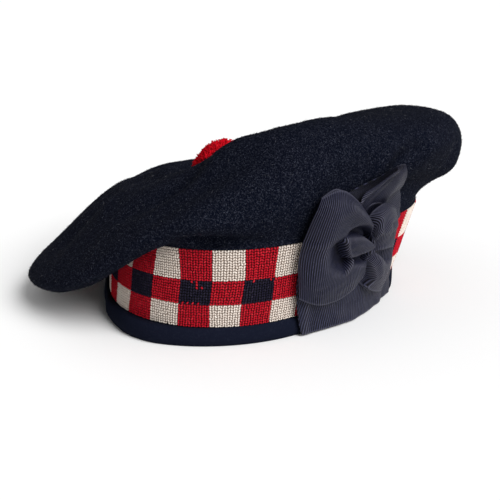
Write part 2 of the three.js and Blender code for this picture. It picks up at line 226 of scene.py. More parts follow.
# %% Groups and materials
def new_group(name, inputs, outputs):
    """An empty shader node group with named input values and outputs."""
    group = bpy.data.node_groups.new(name, "ShaderNodeTree")
    for label, kind, value in inputs:
        socket = group.interface.new_socket(label, in_out="INPUT", socket_type=kind)
        socket.default_value = value
    for label, kind in outputs:
        group.interface.new_socket(label, in_out="OUTPUT", socket_type=kind)
    start = group.nodes.new("NodeGroupInput")
    end = group.nodes.new("NodeGroupOutput")
    return group, start, end


def new_material(name, roughness):
    """A node material with one roughness, its tree and its Principled shader."""
    material = bpy.data.materials.new(name)
    material.use_nodes = True
    shader = material.node_tree.nodes["Principled BSDF"]
    shader.inputs["Roughness"].default_value = roughness
    return material, material.node_tree, shader


# %% Single nodes
def add_node(tree, kind, settings=(), values=()):
    """A node with its settings and its unlinked input values."""
    node = tree.nodes.new(kind)
    for key, value in dict(settings).items():
        setattr(node, key, value)
    for key, value in dict(values).items():
        node.inputs[key].default_value = value
    return node


def math_node(tree, operation, first, second):
    """A Math node; each side is a number or an output socket."""
    node = add_node(tree, "ShaderNodeMath", {"operation": operation})
    for place, side in enumerate((first, second)):
        if isinstance(side, (int, float)):
            node.inputs[place].default_value = side
        else:
            tree.links.new(side, node.inputs[place])
    return node.outputs[0]


def mix_colour(tree, share, first, second):
    """A colour between two colours; share and colours are values or output sockets."""
    node = add_node(tree, "ShaderNodeMix", {"data_type": "RGBA"})
    for socket, side in ((node.inputs[0], share), (node.inputs[6], first), (node.inputs[7], second)):
        if isinstance(side, bpy.types.NodeSocket):
            tree.links.new(side, socket)
        else:
            socket.default_value = side
    return node.outputs[2]


# %% Noise, ramp, carried value and bump
def noise(tree, vector, **values):
    """A Noise texture at the places that vector gives."""
    node = add_node(tree, "ShaderNodeTexNoise", values=values)
    tree.links.new(vector, node.inputs["Vector"])
    return node.outputs["Fac"]


def ramp(tree, value, low, high, at_low=0.0, at_high=1.0):
    """A value that runs from at_low to at_high while its source runs from low to high."""
    limits = {"From Min": low, "From Max": high, "To Min": at_low, "To Max": at_high}
    node = add_node(tree, "ShaderNodeMapRange", values=limits)
    tree.links.new(value, node.inputs["Value"])
    return node.outputs[0]


def carried(tree, name, output="Fac"):
    """What each point or corner of the mesh carries under a name."""
    return add_node(tree, "ShaderNodeAttribute", {"attribute_name": name}).outputs[output]


def add_bump(tree, shader, height, strength, distance):
    """Relief for a shader from a height, at most distance deep in metres."""
    bump = add_node(tree, "ShaderNodeBump", values={"Strength": strength, "Distance": distance})
    tree.links.new(height, bump.inputs["Height"])
    tree.links.new(bump.outputs["Normal"], shader.inputs["Normal"])


# %% Colours
def srgb(red, green, blue):
    """A colour from 0 to 255 as seen on a screen, as linear light."""
    seen = np.array([red, green, blue]) / 255
    linear = np.where(seen <= 0.04045, seen / 12.92, ((seen + 0.055) / 1.055) ** 2.4)
    return (*[float(v) for v in linear], 1.0)


# %% [markdown]
# ## Wool
# Wool is never one flat colour: fine fibres catch the light and the nap is uneven. Several pieces need this,
# so it is a node group with its own inputs, placed in each material with its own values. It reads Object
# coordinates, which are the same on every piece.

# %% Wool fibre group
wool_group, wool_in, wool_out = new_group(
    "wool_fibre",
    [
        ("Ground", "NodeSocketColor", (0.01, 0.01, 0.02, 1)),
        ("Fibre", "NodeSocketColor", (0.05, 0.05, 0.06, 1)),
        ("Fibre share", "NodeSocketFloat", 0.5),
        ("Scale", "NodeSocketFloat", 1.0),
        ("Tone", "NodeSocketFloat", 0.5),
    ],
    [("Color", "NodeSocketColor"), ("Height", "NodeSocketFloat")],
)
coordinates = add_node(wool_group, "ShaderNodeTexCoord")
scaled = add_node(wool_group, "ShaderNodeVectorMath", {"operation": "SCALE"})
wool_group.links.new(coordinates.outputs["Object"], scaled.inputs[0])
wool_group.links.new(wool_in.outputs["Scale"], scaled.inputs["Scale"])
single_fibres = noise(wool_group, scaled.outputs[0], Scale=1150.0, Detail=2.0, Roughness=0.7)
clumps = noise(wool_group, scaled.outputs[0], Scale=700.0, Detail=2.0, Distortion=0.8)
uneven_nap = noise(wool_group, scaled.outputs[0], Scale=260.0, Detail=3.0, Roughness=0.6)
relief = math_node(wool_group, "MULTIPLY", math_node(wool_group, "ADD", single_fibres, clumps), 0.5)
catching = ramp(wool_group, relief, 0.5, 0.66)  # only the highest fibres catch the light
standing = ramp(wool_group, uneven_nap, 0.3, 0.75, 0.4)  # and fewer where the nap lies flat
shown = math_node(wool_group, "MULTIPLY", catching, standing)
shown = math_node(wool_group, "MULTIPLY", shown, wool_in.outputs["Fibre share"])
lighter = math_node(wool_group, "SUBTRACT", wool_in.outputs["Tone"], 0.5)
shown = math_node(wool_group, "ADD", shown, lighter)
wool_colour = mix_colour(wool_group, shown, wool_in.outputs["Ground"], wool_in.outputs["Fibre"])
wool_group.links.new(wool_colour, wool_out.inputs["Color"])
wool_group.links.new(relief, wool_out.inputs["Height"])
print("node group", wool_group.name, "has", len(wool_group.nodes), "nodes")

# %% [markdown]
# Felt and yarn hardly shine, so a wool material is rough with almost no reflection. Its colour and its bump
# come from the group. A mesh of many fibres or stitches may carry a tone for each, because no two are alike.

# %% Wool materials
WOOL_ROUGHNESS = 0.95
WOOL_REFLECTION = 0.02
WOOL_RELIEF = 0.0006  # depth of the bump in metres


def fibre_group(tree, share, scale, **colours):
    """The fibre group placed in a material, with those of its colours that nothing else feeds."""
    values = {"Fibre share": share, "Scale": scale, **colours}
    return add_node(tree, "ShaderNodeGroup", {"node_tree": wool_group}, values)


def wool_material(name, ground, fibre, share, scale, relief, tone_from=None):
    """A Principled shader fed by the fibre group, with a bump of the fibres.

    A mesh may carry its own tone, from 0 for dark to 1 for light, in the attribute that tone_from names.
    """
    material, tree, shader = new_material(name, WOOL_ROUGHNESS)
    group = fibre_group(tree, share, scale, Ground=ground, Fibre=fibre)
    if tone_from:
        tree.links.new(carried(tree, tone_from), group.inputs["Tone"])
    tree.links.new(group.outputs["Color"], shader.inputs["Base Color"])
    add_bump(tree, shader, group.outputs["Height"], relief, WOOL_RELIEF)
    shader.inputs["Specular IOR Level"].default_value = WOOL_REFLECTION
    return material


# %% [markdown]
# ## The crown
# The crown is a bag of thick felt, round and flat when laid out, sewn to the band and pushed down to one
# side. It could be simulated as cloth, but milled felt keeps the folds it was pressed into, so its section is
# given at twelve bearings and smooth curves run between them, round the head and from the seam to the middle.

# %% Crown sections
# bearing, then reach and height of the underside, the heel and rim of the outer fold, the flank and crest of
# the roll above it, and the dish that runs down to the toorie
CROWN_SECTIONS = np.array([
    (0, 102, 75, 115, 86, 124, 100, 117, 111, 95, 115, 55, 102),
    (30, 122, 62, 136.5, 72.5, 139.5, 91.5, 131, 106, 108, 111, 60, 96),
    (60, 120, 57, 135, 67, 140, 80, 130, 93, 105, 99, 55, 84),
    (90, 112, 52, 129, 50, 136, 58, 125, 69, 98, 75, 50, 68),
    (120, 110, 44, 126, 36, 132, 43, 123, 53, 97, 63, 50, 63),
    (150, 106, 34, 122, 21, 129, 28, 120, 39, 92, 60, 48, 62),
    (180, 100, 28, 119, 12, 127, 19, 117, 30, 81, 60, 46, 64),
    (210, 102, 25, 124, 10, 134, 15, 122, 29, 82, 63, 46, 75),
    (240, 106, 33, 121, 24, 130, 30, 118, 46, 80, 76, 46, 84),
    (270, 111, 60, 117, 61, 121, 68, 112, 79, 72, 92, 42, 82),
    (300, 102, 61, 107, 70, 110, 81, 106, 97, 82, 114, 45, 97),
    (330, 92, 62, 99, 74, 104, 88, 105, 104, 90, 118, 50, 105),
], float)
CROWN_PULL = (0, 0, 0, 0, 0.3, 0.7)  # share of the toorie's shift that each line takes
print("the crown's rim reaches up to", CROWN_SECTIONS[:, 5].max(), "mm from the band's axis")

# %% Crown section curves
GAP = 0.3  # clearance between pieces that touch
CROWN_NECK = 2.0  # how far the felt rises straight from the seam
SEAT_REACH = 14.0  # the flat seat of the toorie
SEAT_HEIGHT = 60.0
SEAT_SHIFT = np.array([-13.0, 0.0])


def round_table(bearing):
    """Every column of the crown's table at any bearing, as a cubic through the four nearest rows."""
    rows = CROWN_SECTIONS[:, 1:]
    place = np.mod(bearing / (2 * np.pi), 1) * len(rows)
    row = np.floor(place).astype(int)
    t = (place - row)[:, None]
    a, b, c, d = (rows[(row + k) % len(rows)] for k in (-1, 0, 1, 2))
    return b + 0.5 * t * (c - a + t * (2 * a - 5 * b + 4 * c - d + t * (3 * b - a - 3 * c + d)))


def crown_knots(bearing):
    """The points that a section of the crown runs through, from the seam to the middle under the toorie."""
    table = round_table(bearing)
    facing = np.stack([np.cos(bearing), np.sin(bearing)], -1)
    seam = seam_point(bearing, GAP, 0.0)
    knots = [seam, seam + np.array([0, 0, CROWN_NECK])]
    for line, pull in enumerate(CROWN_PULL):
        flat = table[:, 2 * line, None] * facing + pull * SEAT_SHIFT
        knots.append(np.concatenate([flat, table[:, 2 * line + 1, None]], -1))
    for reach in (SEAT_REACH, 0.0):
        flat = reach * facing + SEAT_SHIFT
        knots.append(np.concatenate([flat, np.full((len(bearing), 1), SEAT_HEIGHT)], -1))
    return np.stack(knots, 1)


# %% [markdown]
# ## Folds of the felt
# A handled crown has soft dents and ridges that twelve sections can't hold. Sculpting by hand would add them,
# but a table can be read and changed. Each fold is a line over the felt with a height at each of its points,
# and the felt is lifted or sunk along its own normals, less the further it lies from the line.

# %% Crown folds
# the half-width of a fold, then the points of its line with the height at each, minus for a dent
CROWN_FOLDS = (
    (10, (9, -78, 98, 2.8), (24, -74, 107, 2.8)),
    (9, (3, -78, 95, -4.0), (-7, -87, 87, -6.2), (-19, -93, 79, -6.0), (-32, -95, 70, -2.8)),
    (9, (37, -86, 105, -1.6), (13, -100, 90, -4.4), (-7, -111, 76, -3.0)),
    (6, (-4, -121, 66, 0), (13, -118, 73, 2.6), (27, -112, 73, 2.6), (42, -103, 70, 0)),
    (5, (3, -117, 64, -1.5), (14, -109, 62, -5.0), (27, -102, 60, -4.2), (42, -92, 59, -2.0)),
    (6, (101, -40, 101, 1.6), (95, -47, 92, 1.6)),
    (9, (108, -29, 95, -6.5), (113, -21, 100, -6.5)),
    (9, (81, -66, 93, -2.6), (92, -52, 95, -2.6)),
    (9, (107, 4, 80, 1.5), (119, 42, 80, 1.5)),
    (5, (-60, -64, 68, 1.6), (-54, -81, 64, 1.6)),
    (9, (-60, -72, 66, 1.0), (-84, -60, 40, 1.0)),
    (14, (-86, -67, 45, -5.0), (-70, -56, 62, -5.0)),
    (11, (-50, -43, 78, -4.4), (-36, -58, 82, -4.4)),
    (9, (125, 29, 92, -2.6), (120, 30, 78, -2.6)),
    (11, (-102, -34, 43, -3.2), (-85, -26, 58, -3.2)),
    (13, (-85, 28, 60, -2.8), (-78, 38, 61.5, -2.8)),
    (9, (62, -42, 117, 1.4), (68, -28, 118, 1.4)),
)


def nearest_on_line(points, start, end):
    """How far each point is from a straight stretch, and at what share of it the nearest place lies."""
    run = end - start
    share = np.clip((points - start) @ run / (run @ run), 0, 1)
    return np.linalg.norm(points - start - share[..., None] * run, axis=-1), share


def crown_fold(points, width, line):
    """A ridge or dent along a line: the height at the line's nearest place, fading with distance squared."""
    line = np.array(line, float)
    nearest = np.full(points.shape[:-1], np.inf)
    height = np.zeros(points.shape[:-1])
    for start, end in zip(line[:-1], line[1:]):
        distance, share = nearest_on_line(points, start[:3], end[:3])
        closer = distance < nearest
        nearest = np.where(closer, distance, nearest)
        height = np.where(closer, start[3] + share * (end[3] - start[3]), height)
    return height * np.exp(-((nearest / width) ** 2))


print("the crown has", len(CROWN_FOLDS), "folds and dents")

# %% [markdown]
# Between the folds the felt is never quite even, so a few long sine waves in mixed directions lift it a
# little. The outside and the lining come from the same function, so a dent never cuts through the lining.

# %% Felt faces
LUMP_WAVES = 9
FELT_LUMPS = ((0.9, 46, 3), (0.35, 17, 4))  # height, length and seed of each unevenness
SEWN_PLACE = 0.2  # up to here, counted in knots, the seam holds the felt
FREE_AFTER = 0.6  # and over this distance the folds grow to their full height


def soft_lumps(points, size, seed):
    """An even, smooth unevenness: a few sine waves of nearly the same length in seeded directions."""
    rng = np.random.default_rng(seed)
    directions = rng.normal(size=(LUMP_WAVES, 3))
    directions /= np.linalg.norm(directions, axis=1, keepdims=True)
    phases = rng.uniform(0, 2 * np.pi, LUMP_WAVES)
    lengths = size * rng.uniform(0.7, 1.4, LUMP_WAVES)
    waves = np.sin((points @ directions.T) * 2 * np.pi / lengths + phases)
    return waves.mean(-1)


def felt_face(knots, places, depth):
    """One face of the felt: the sections' surface, lumps and folds along its normals, less a depth.

    The folds fade out towards the seam, where the felt is sewn to the band.
    """
    skin = smooth_path(knots, places)
    lift = sum(height * soft_lumps(skin, length, seed) for height, length, seed in FELT_LUMPS)
    for width, *line in CROWN_FOLDS:
        lift = lift + crown_fold(skin, width, line)
    lift = lift * np.clip((places - SEWN_PLACE) / FREE_AFTER, 0, 1) - depth
    return skin + lift[..., None] * grid_normals(skin, wrap_rows=True)


# %% [markdown]
# Outside and lining are joined at the seam into one closed bag. Both run to the middle under the toorie,
# where a fan of triangles round one point closes each of them.

# %% Crown bag
CROWN_ROUND = 340
CROWN_ALONG = 118
LINING_ALONG = 72
CROWN_WALL = 2.0
crown_felt = wool_material("crown_felt", srgb(6, 9, 20), srgb(68, 71, 84), share=0.75, scale=1.6, relief=0.9)
section_knots = crown_knots(np.linspace(0, 2 * np.pi, CROWN_ROUND, endpoint=False))
last_knot = section_knots.shape[1] - 1
outer = felt_face(section_knots, np.linspace(0, last_knot, CROWN_ALONG)[:-1], 0)
lining = felt_face(section_knots, np.linspace(0, last_knot, LINING_ALONG)[:-1], CROWN_WALL)
bag = np.concatenate([lining[:, ::-1], outer], 1)
bag_points = np.concatenate([bag.reshape(-1, 3), lining[:, -1].mean(0)[None], outer[:, -1].mean(0)[None]])
lining_ring = np.arange(CROWN_ROUND) * bag.shape[1]
outer_ring = lining_ring + bag.shape[1] - 1
lining_pole = len(bag_points) - 2
bag_faces = grid_quads(*bag.shape[:2], wrap_rows=True).tolist()
bag_faces += fan(lining_ring, lining_pole)[:, ::-1].tolist()
bag_faces += fan(outer_ring, lining_pole + 1).tolist()
add_piece("felt_crown", bag_points, bag_faces, crown_felt, "crown")

# %% [markdown]
# Milled felt is smooth from a distance, but single fibres stand out of it and catch the light. Hair particles
# would do this, but they are not a mesh, so each fibre here is a thin spike of four triangles. The spikes are
# scattered evenly over the outside of the crown and combed nearly flat, each in a direction of its own.

# %% Felt nap
FIBRES = 44000
FIBRE_WIDTH = 0.08  # half of it
FIBRE_SUNK = 0.1  # how deep its foot lies in the felt
FIBRE_SHORTEST = 0.6
FIBRE_LONGER = 2.6  # how much longer the longest may be
FIBRE_RISE = (0.12, 0.5)  # least and most rise for its length
NAP_DARK = srgb(24, 27, 38)
NAP_PALE = srgb(136, 137, 144)
nap_rng = np.random.default_rng(7)


def felt_fibres(grid, count):
    """Spikes on a closed grid: a place in a cell chosen by its area, then a tip along the lean."""
    along = np.roll(grid, -1, 0)[:, :-1] - grid[:, :-1]
    over = grid[:, 1:] - grid[:, :-1]
    area = np.linalg.norm(np.cross(along, over), axis=-1).ravel()
    cell = nap_rng.choice(area.size, count, p=area / area.sum())
    share = nap_rng.uniform(0, 1, (2, count, 1))
    along = along.reshape(-1, 3)[cell]
    over = over.reshape(-1, 3)[cell]
    root = grid[:, :-1].reshape(-1, 3)[cell] + share[0] * along + share[1] * over
    out = np.cross(along, over)
    out /= np.linalg.norm(out, axis=-1, keepdims=True)
    lean = nap_rng.normal(size=(count, 3))
    lean -= (lean * out).sum(-1, keepdims=True) * out
    lean /= np.linalg.norm(lean, axis=-1, keepdims=True)
    side = FIBRE_WIDTH * np.cross(out, lean)
    rise = nap_rng.uniform(*FIBRE_RISE, (count, 1))
    tip = root + (FIBRE_SHORTEST + FIBRE_LONGER * nap_rng.beta(1, 3, (count, 1))) * (lean + rise * out)
    foot = root - FIBRE_SUNK * out
    return np.stack([foot + side, foot - side, root + FIBRE_WIDTH * out, tip], 1)


nap_wool = wool_material(
    "nap_wool", NAP_DARK, NAP_PALE, share=0.6, scale=1.0, relief=0.0, tone_from="fibre_tone"
)
spikes = felt_fibres(outer, FIBRES)
spike_sides = np.array([(0, 2, 3), (1, 3, 2), (0, 3, 1), (0, 1, 2)])
spike_faces = (spike_sides[None] + 4 * np.arange(FIBRES)[:, None, None]).reshape(-1, 3)
felt_nap = add_piece("felt_nap", spikes.reshape(-1, 3), spike_faces.tolist(), nap_wool, "crown")
carry_value(felt_nap, "fibre_tone", np.repeat(nap_rng.beta(1.1, 3.2, FIBRES), 4))

# %% [markdown]
# ## The knitted band
# The band is knitted in three yarns. Each stitch is a V of two legs, and the colour changes from stitch to
# stitch, which is what makes the edges of the squares toothed. A painted texture could show it, but real legs
# give the small shadows between them. First comes the face that they lie on, a grid with a cell for each
# stitch. Knitted squares are never quite true, so a few of their corners are pulled askew.

# %% Band face
BAND_LINES = ((1.8, -0.4), (DICE_FOOT, 0.0), (24.0, 0.9), (38.0, 1.2))  # height and bulge, the foot first
# where the knitting is pulled: the line, 0 for the foot and 4 for the seam, the bearing, and the pull
PULLS = (
    (4, 257.9, 1.6),
    (4, 268.5, -2.4),
    (4, 279.1, -1.0),
    (4, 289.7, -1.3),
    (1, 247.3, -2.0),
    (1, 279.1, 1.0),
)
PULL_SPREAD = math.radians(6)


def pulled(bearing, line):
    """The bearing after the pulls on one line, each fading as a bell curve on both sides."""
    shift = np.zeros(np.shape(bearing))
    for at_line, at, pull in PULLS:
        if at_line == line:
            apart = (bearing - math.radians(at)) / PULL_SPREAD
            shift = shift + pull / HEAD_RADIUS * np.exp(-(apart**2))
    return bearing + shift


def band_knots(bearing, inset):
    """The outer face's section from its foot to the seam, moved inwards by inset."""
    lines = []
    for line, (height, bulge) in enumerate(BAND_LINES):
        lines.append(band_point(pulled(bearing, line), height, bulge - inset))
    return np.stack([*lines, seam_point(pulled(bearing, len(BAND_LINES)), 0.0, inset)], -2)


# %% Stitch grid
DICE_COLUMNS = 34
STITCHES_WIDE = 6  # stitches across one square
STITCHES_HIGH = (9, 9, 12)  # rows in the lower, middle and upper squares
FIRST_COLUMN = math.radians(279.1)  # a bearing where two squares meet
STITCH_INSET = 0.5


def bearing_at(length):
    """The bearing at a length along the foot of the dicing, counted from the first column."""
    start = np.interp(FIRST_COLUMN, turn, arc_to)
    return np.interp(np.mod(start + length, HEAD_GIRTH), arc_to, turn)


stitch_count = DICE_COLUMNS * STITCHES_WIDE
edges_round = bearing_at(np.arange(stitch_count) * HEAD_GIRTH / stitch_count)
row_places = [1 + square + np.arange(rows) / rows for square, rows in enumerate(STITCHES_HIGH)]
row_places = np.concatenate([*row_places, [len(BAND_LINES)]])
face_grid = smooth_path(band_knots(edges_round, STITCH_INSET), row_places)
print("knitted grid of", face_grid.shape[0], "by", face_grid.shape[1] - 1, "stitches")

# %% [markdown]
# The dicing is a chart, as a knitter would draw it: a yarn for every stitch. Two kinds of column take turns
# round the band. Each leg of a stitch gets its own yarn, because at the edges of the navy squares a few red
# legs have strayed.

# %% Dicing plan
RED, WHITE, NAVY = 0, 1, 2
EVEN_COLUMN = (WHITE, RED, WHITE)  # from the foot up
ODD_COLUMN = (RED, NAVY, RED)
# red legs that strayed into the navy: the stitch, the row, and 0 for its left leg or 1 for its right
STRAY_LEGS = np.array([
    (-3, 17, 0), (-3, 16, 0), (-4, 17, 0), (-3, 15, 0), (-2, 15, 0), (7, 17, 1), (11, 17, 0),
    (-6, 9, 1), (-5, 9, 1), (-4, 9, 1), (-3, 9, 1),
])
dice_column = np.arange(stitch_count) // STITCHES_WIDE
dice = np.where((dice_column % 2 == 0)[:, None], EVEN_COLUMN, ODD_COLUMN)
plan = dice[:, np.repeat(np.arange(3), STITCHES_HIGH)]
plan = np.stack([plan, plan])
plan[STRAY_LEGS[:, 2], STRAY_LEGS[:, 0], STRAY_LEGS[:, 1]] = RED
print("legs of red, white and navy:", [int((plan == yarn).sum()) for yarn in (RED, WHITE, NAVY)])

# %% [markdown]
# There are twelve thousand legs, so each has to be cheap: a tapered tube of five sides that dips into the
# cloth at both ends, only thirty triangles. One template is made for each side of the V and copied to every
# stitch as one array, laid out on that stitch's own directions.

# %% Leg shape
LEG_PATH = np.array([  # across the stitch, up the stitch, and out of the cloth in mm
    (0.12, -0.60, -0.40),
    (0.18, -0.31, 0.38),
    (0.25, 0.02, 0.62),
    (0.32, 0.34, 0.34),
    (0.37, 0.62, -0.45),
])
LEG_WIDTH = 0.205  # half of it, as a share of the stitch
LEG_DEPTH = 0.5  # half of it, in mm
LEG_TAPER = np.array([0.8, 1.0, 0.82])
LEG_SIDES = 5


def leg_template(side):
    """Points of one leg: a tip, three rings, and a tip, leaning to one side of the stitch."""
    angle = 2 * np.pi * np.arange(LEG_SIDES) / LEG_SIDES
    ring = np.stack([LEG_WIDTH * np.sin(angle), 0 * angle, LEG_DEPTH * np.cos(angle)], -1)
    middle = LEG_PATH[1:4, None] + LEG_TAPER[:, None, None] * ring
    points = np.concatenate([LEG_PATH[:1], middle.reshape(-1, 3), LEG_PATH[4:]])
    return points * np.array([side, 1, 1])


def leg_triangles(side):
    """The triangles of a leg, turned so that both leanings face outwards."""
    k = np.arange(LEG_SIDES)
    n = (k + 1) % LEG_SIDES
    last = 1 + 3 * LEG_SIDES
    parts = [np.stack([np.zeros_like(k), 1 + n, 1 + k], 1)]
    for start in (1, 1 + LEG_SIDES):
        parts.append(np.stack([start + k, start + n, start + LEG_SIDES + n], 1))
        parts.append(np.stack([start + k, start + LEG_SIDES + n, start + LEG_SIDES + k], 1))
    parts.append(np.stack([last - LEG_SIDES + k, last - LEG_SIDES + n, np.full_like(k, last)], 1))
    triangles = np.concatenate(parts)
    return triangles if side > 0 else triangles[:, ::-1]


print("a leg has", len(leg_template(1)), "points and", len(leg_triangles(1)), "triangles")

# %% [markdown]
# Each stitch has its own directions: across to the next stitch, up to the next row, and out of the cloth.
# Yarn is soft, so single stitches stray a little from their places, and whole patches stray together.

# %% Stitch places
STITCH_SWAY = 0.04  # how far single stitches stray
ROW_SWAY = (0.16, 0.3)  # how far whole patches stray across and up, in shares of a stitch
ROW_SWAY_LENGTH = 30
knit_rng = np.random.default_rng(11)
across = np.roll(face_grid, -1, 0) - face_grid
across = (across[:, :-1] + across[:, 1:]) / 2
upward = np.diff(face_grid, axis=1)
centre = face_grid[:, :-1] + across / 2 + upward / 2
outward = np.cross(across, upward)
outward /= np.linalg.norm(outward, axis=-1, keepdims=True)
sway = knit_rng.normal(0, STITCH_SWAY, size=(*centre.shape[:2], 3))
sway[..., 0] += ROW_SWAY[0] * soft_lumps(centre, ROW_SWAY_LENGTH, 5)
sway[..., 1] += ROW_SWAY[1] * soft_lumps(centre, ROW_SWAY_LENGTH, 6)
centre = centre + sway[..., :1] * across + sway[..., 1:2] * upward + sway[..., 2:] * outward
stitch_size = [round(float(np.linalg.norm(way, axis=-1).mean()), 2) for way in (across, upward)]
print("a stitch is", stitch_size[0], "mm wide and", stitch_size[1], "mm high")

# %% Knitting
TONE_SPREAD = 0.16
YARNS = (
    (RED, "red", srgb(168, 22, 37), srgb(214, 56, 66)),
    (WHITE, "white", srgb(212, 200, 190), srgb(244, 236, 227)),
    (NAVY, "navy", srgb(29, 27, 41), srgb(60, 55, 70)),
)


def stitches_of(yarn):
    """Every leg of one yarn: the template laid out on the stitch's own across, up and out directions."""
    points = []
    faces = []
    total = 0
    for side in (-1, 1):
        chosen = plan[(side + 1) // 2] == yarn
        t = leg_template(side)
        legs = centre[chosen][:, None] + t[:, :1] * across[chosen][:, None]
        legs = legs + t[:, 1:2] * upward[chosen][:, None] + t[:, 2:] * outward[chosen][:, None]
        starts = total + len(t) * np.arange(len(legs))
        faces.append((leg_triangles(side)[None] + starts[:, None, None]).reshape(-1, 3))
        points.append(legs.reshape(-1, 3))
        total += len(t) * len(legs)
    return np.concatenate(points), np.concatenate(faces)


for yarn, label, ground, fibre in YARNS:
    yarn_wool = wool_material(
        f"{label}_yarn", ground, fibre, share=0.6, scale=1.4, relief=0.4, tone_from="leg_tone"
    )
    yarn_points, yarn_faces = stitches_of(yarn)
    knit = add_piece(f"knit_{label}", yarn_points, yarn_faces.tolist(), yarn_wool, "diced_band")
    leg_points = len(leg_template(1))
    leg_tone = knit_rng.normal(0.5, TONE_SPREAD, len(yarn_points) // leg_points)
    carry_value(knit, "leg_tone", np.repeat(leg_tone, leg_points))

# %% [markdown]
# Behind the legs lies the thickness of the cloth itself. It shows only in the gaps, where it takes the colour
# of its square made darker, as painted shade between the stitches, and on the inside, where the knitting is
# plain navy. The colour is carried by the corners of its faces, so that it changes sharply from square to
# square.

# %% Band cloth
BAND_WALL = 2.6
CLOTH_INSET = 0.95  # behind the legs
CLOTH_STEPS = 40
INSIDE_COARSER = 4  # the inside has one step for this many
cloth_places = np.linspace(0, len(BAND_LINES), CLOTH_STEPS + 1)
cloth_out = smooth_path(band_knots(edges_round, CLOTH_INSET), cloth_places)
cloth_in = smooth_path(band_knots(edges_round, BAND_WALL), cloth_places[::-INSIDE_COARSER])
cloth = np.concatenate([cloth_out, cloth_in], 1)
cloth_faces = grid_quads(*cloth.shape[:2], wrap_rows=True, wrap_columns=True)
cell_square = np.full(cloth.shape[1], -1)
cell_square[:CLOTH_STEPS] = np.floor((cloth_places[:-1] + cloth_places[1:]) / 2).astype(int) - 1
cell_yarn = np.where(cell_square >= 0, dice[:, cell_square], NAVY)
print("cells of navy cloth:", int((cell_yarn == NAVY).sum()), "of", cell_yarn.size)

# %% Cloth colours
# each square's yarn made darker: painted shade in the gaps between the stitches
GAP_SHADE_COLOURS = np.array([srgb(106, 13, 25), srgb(176, 161, 149), srgb(12, 12, 20)])  # red, white, navy
cloth_wool, cloth_tree, cloth_shader = new_material("band_cloth_wool", WOOL_ROUGHNESS)
cloth_fibres = fibre_group(cloth_tree, share=0.3, scale=1.4)
cloth_tree.links.new(carried(cloth_tree, "shaded_square_colour", "Color"), cloth_fibres.inputs["Ground"])
cloth_tree.links.new(cloth_fibres.outputs["Color"], cloth_shader.inputs["Base Color"])
band_cloth = add_piece("band_cloth", cloth.reshape(-1, 3), cloth_faces.tolist(), cloth_wool, "diced_band")
shaded_square_colour = band_cloth.data.attributes.new("shaded_square_colour", "FLOAT_COLOR", "CORNER")
corner_colours = np.repeat(GAP_SHADE_COLOURS[cell_yarn.ravel()], 4, axis=0)
shaded_square_colour.data.foreach_set("color", corner_colours.astype(np.float32).ravel())

# %% [markdown]
# ## The binding
# The lower edge is bound with a strip of the same dark felt, folded under the band. It forms a soft welt that
# is flat below, where the bonnet stands on it, a little uneven at the front, and pressed flat behind the
# hanging ribbon. A bevelled ring would be too even, so the profile swells by bearing.

# %% Edge binding
BINDING_FACE = ((0.0, 1.8), (2.5, 3.1), (6.0, 3.3), (9.5, 2.4), (DICE_FOOT, 1.3))  # height and bulge
BINDING_INSIDE = ((DICE_FOOT, 0.3), (1.8, 0.3), (1.5, -3.3), (12.0, -3.3), (12.0, -4.5), (0.0, -4.5))
WELT_SPREAD = ((4.0, 255, 40), (1.2, 195, 10), (-1.3, 286, 40))  # out, middle bearing and power of each swell
WELT_DENTS = ((227, 3, -0.5), (236, 4, 0.5), (246, 3, -0.5), (263, 4, 0.4))  # bearing, width, out
WELT_PRESS = (0.9, 15, 8)  # how flat the ribbon presses it, at which bearing, and the power of that swell
WELT_LEAST = 0.9  # bulge of the welt where it is pressed quite flat
EDGE_ROUND = 400
WELT_ALONG = 17
binding_felt = wool_material(
    "binding_felt", srgb(17, 20, 33), srgb(34, 38, 51), share=0.5, scale=1.3, relief=0.3
)
edge_bearing = np.linspace(0, 2 * np.pi, EDGE_ROUND, endpoint=False)
spread = sum(out * swell(edge_bearing, middle, power) for out, middle, power in WELT_SPREAD)
for middle, width, out in WELT_DENTS:
    apart = np.angle(np.exp(1j * (edge_bearing - math.radians(middle))))
    spread = spread + out * np.exp(-((apart / math.radians(width)) ** 2))
press = WELT_PRESS[0] * swell(edge_bearing, *WELT_PRESS[1:])
welt_bulges = [(h, (b + spread) * (1 - press) + WELT_LEAST * press) for h, b in BINDING_FACE]
welt_knots = np.stack([band_point(edge_bearing, h, b) for h, b in welt_bulges], -2)
welt_face = smooth_path(welt_knots, np.linspace(0, len(BINDING_FACE) - 1, WELT_ALONG))
tucked = np.stack([band_point(edge_bearing, h, np.full(EDGE_ROUND, b)) for h, b in BINDING_INSIDE], -2)
binding = np.concatenate([welt_face, tucked], 1)
binding_faces = grid_quads(*binding.shape[:2], wrap_rows=True, wrap_columns=True)
add_piece("edge_binding", binding.reshape(-1, 3), binding_faces.tolist(), binding_felt, "edge_band")

# %% [markdown]
# ## The toorie
# The toorie is a ball of cut yarn ends tied in the middle. Each end is a short bent tube that starts inside a
# woolly head and stands out from it. The ends are spread along a spiral that winds from the top of the ball
# towards its foot, turning by the golden angle, because that spaces them evenly with no rows. On one side the
# ball is a little flat, as if a hand had pressed it, so its radius shrinks round that direction.

# %% Toorie ball
TOORIE_RADIUS = 19.2
TOORIE_HEIGHT = 33.4
TOORIE_PRESS = 0.13  # share of the radius lost where the ball was pressed
TOORIE_PRESS_REACH = 0.6  # how wide the pressed place is, in radians
TOORIE_PRESSED_FROM = np.array([-0.667, -0.235, 0.707])
toorie_centre = np.array([*SEAT_SHIFT, SEAT_HEIGHT + GAP + TOORIE_HEIGHT - TOORIE_RADIUS])
toorie_yarn = wool_material(
    "toorie_yarn", srgb(190, 12, 28), srgb(226, 48, 56), share=0.7, scale=1.2, relief=0.5
)


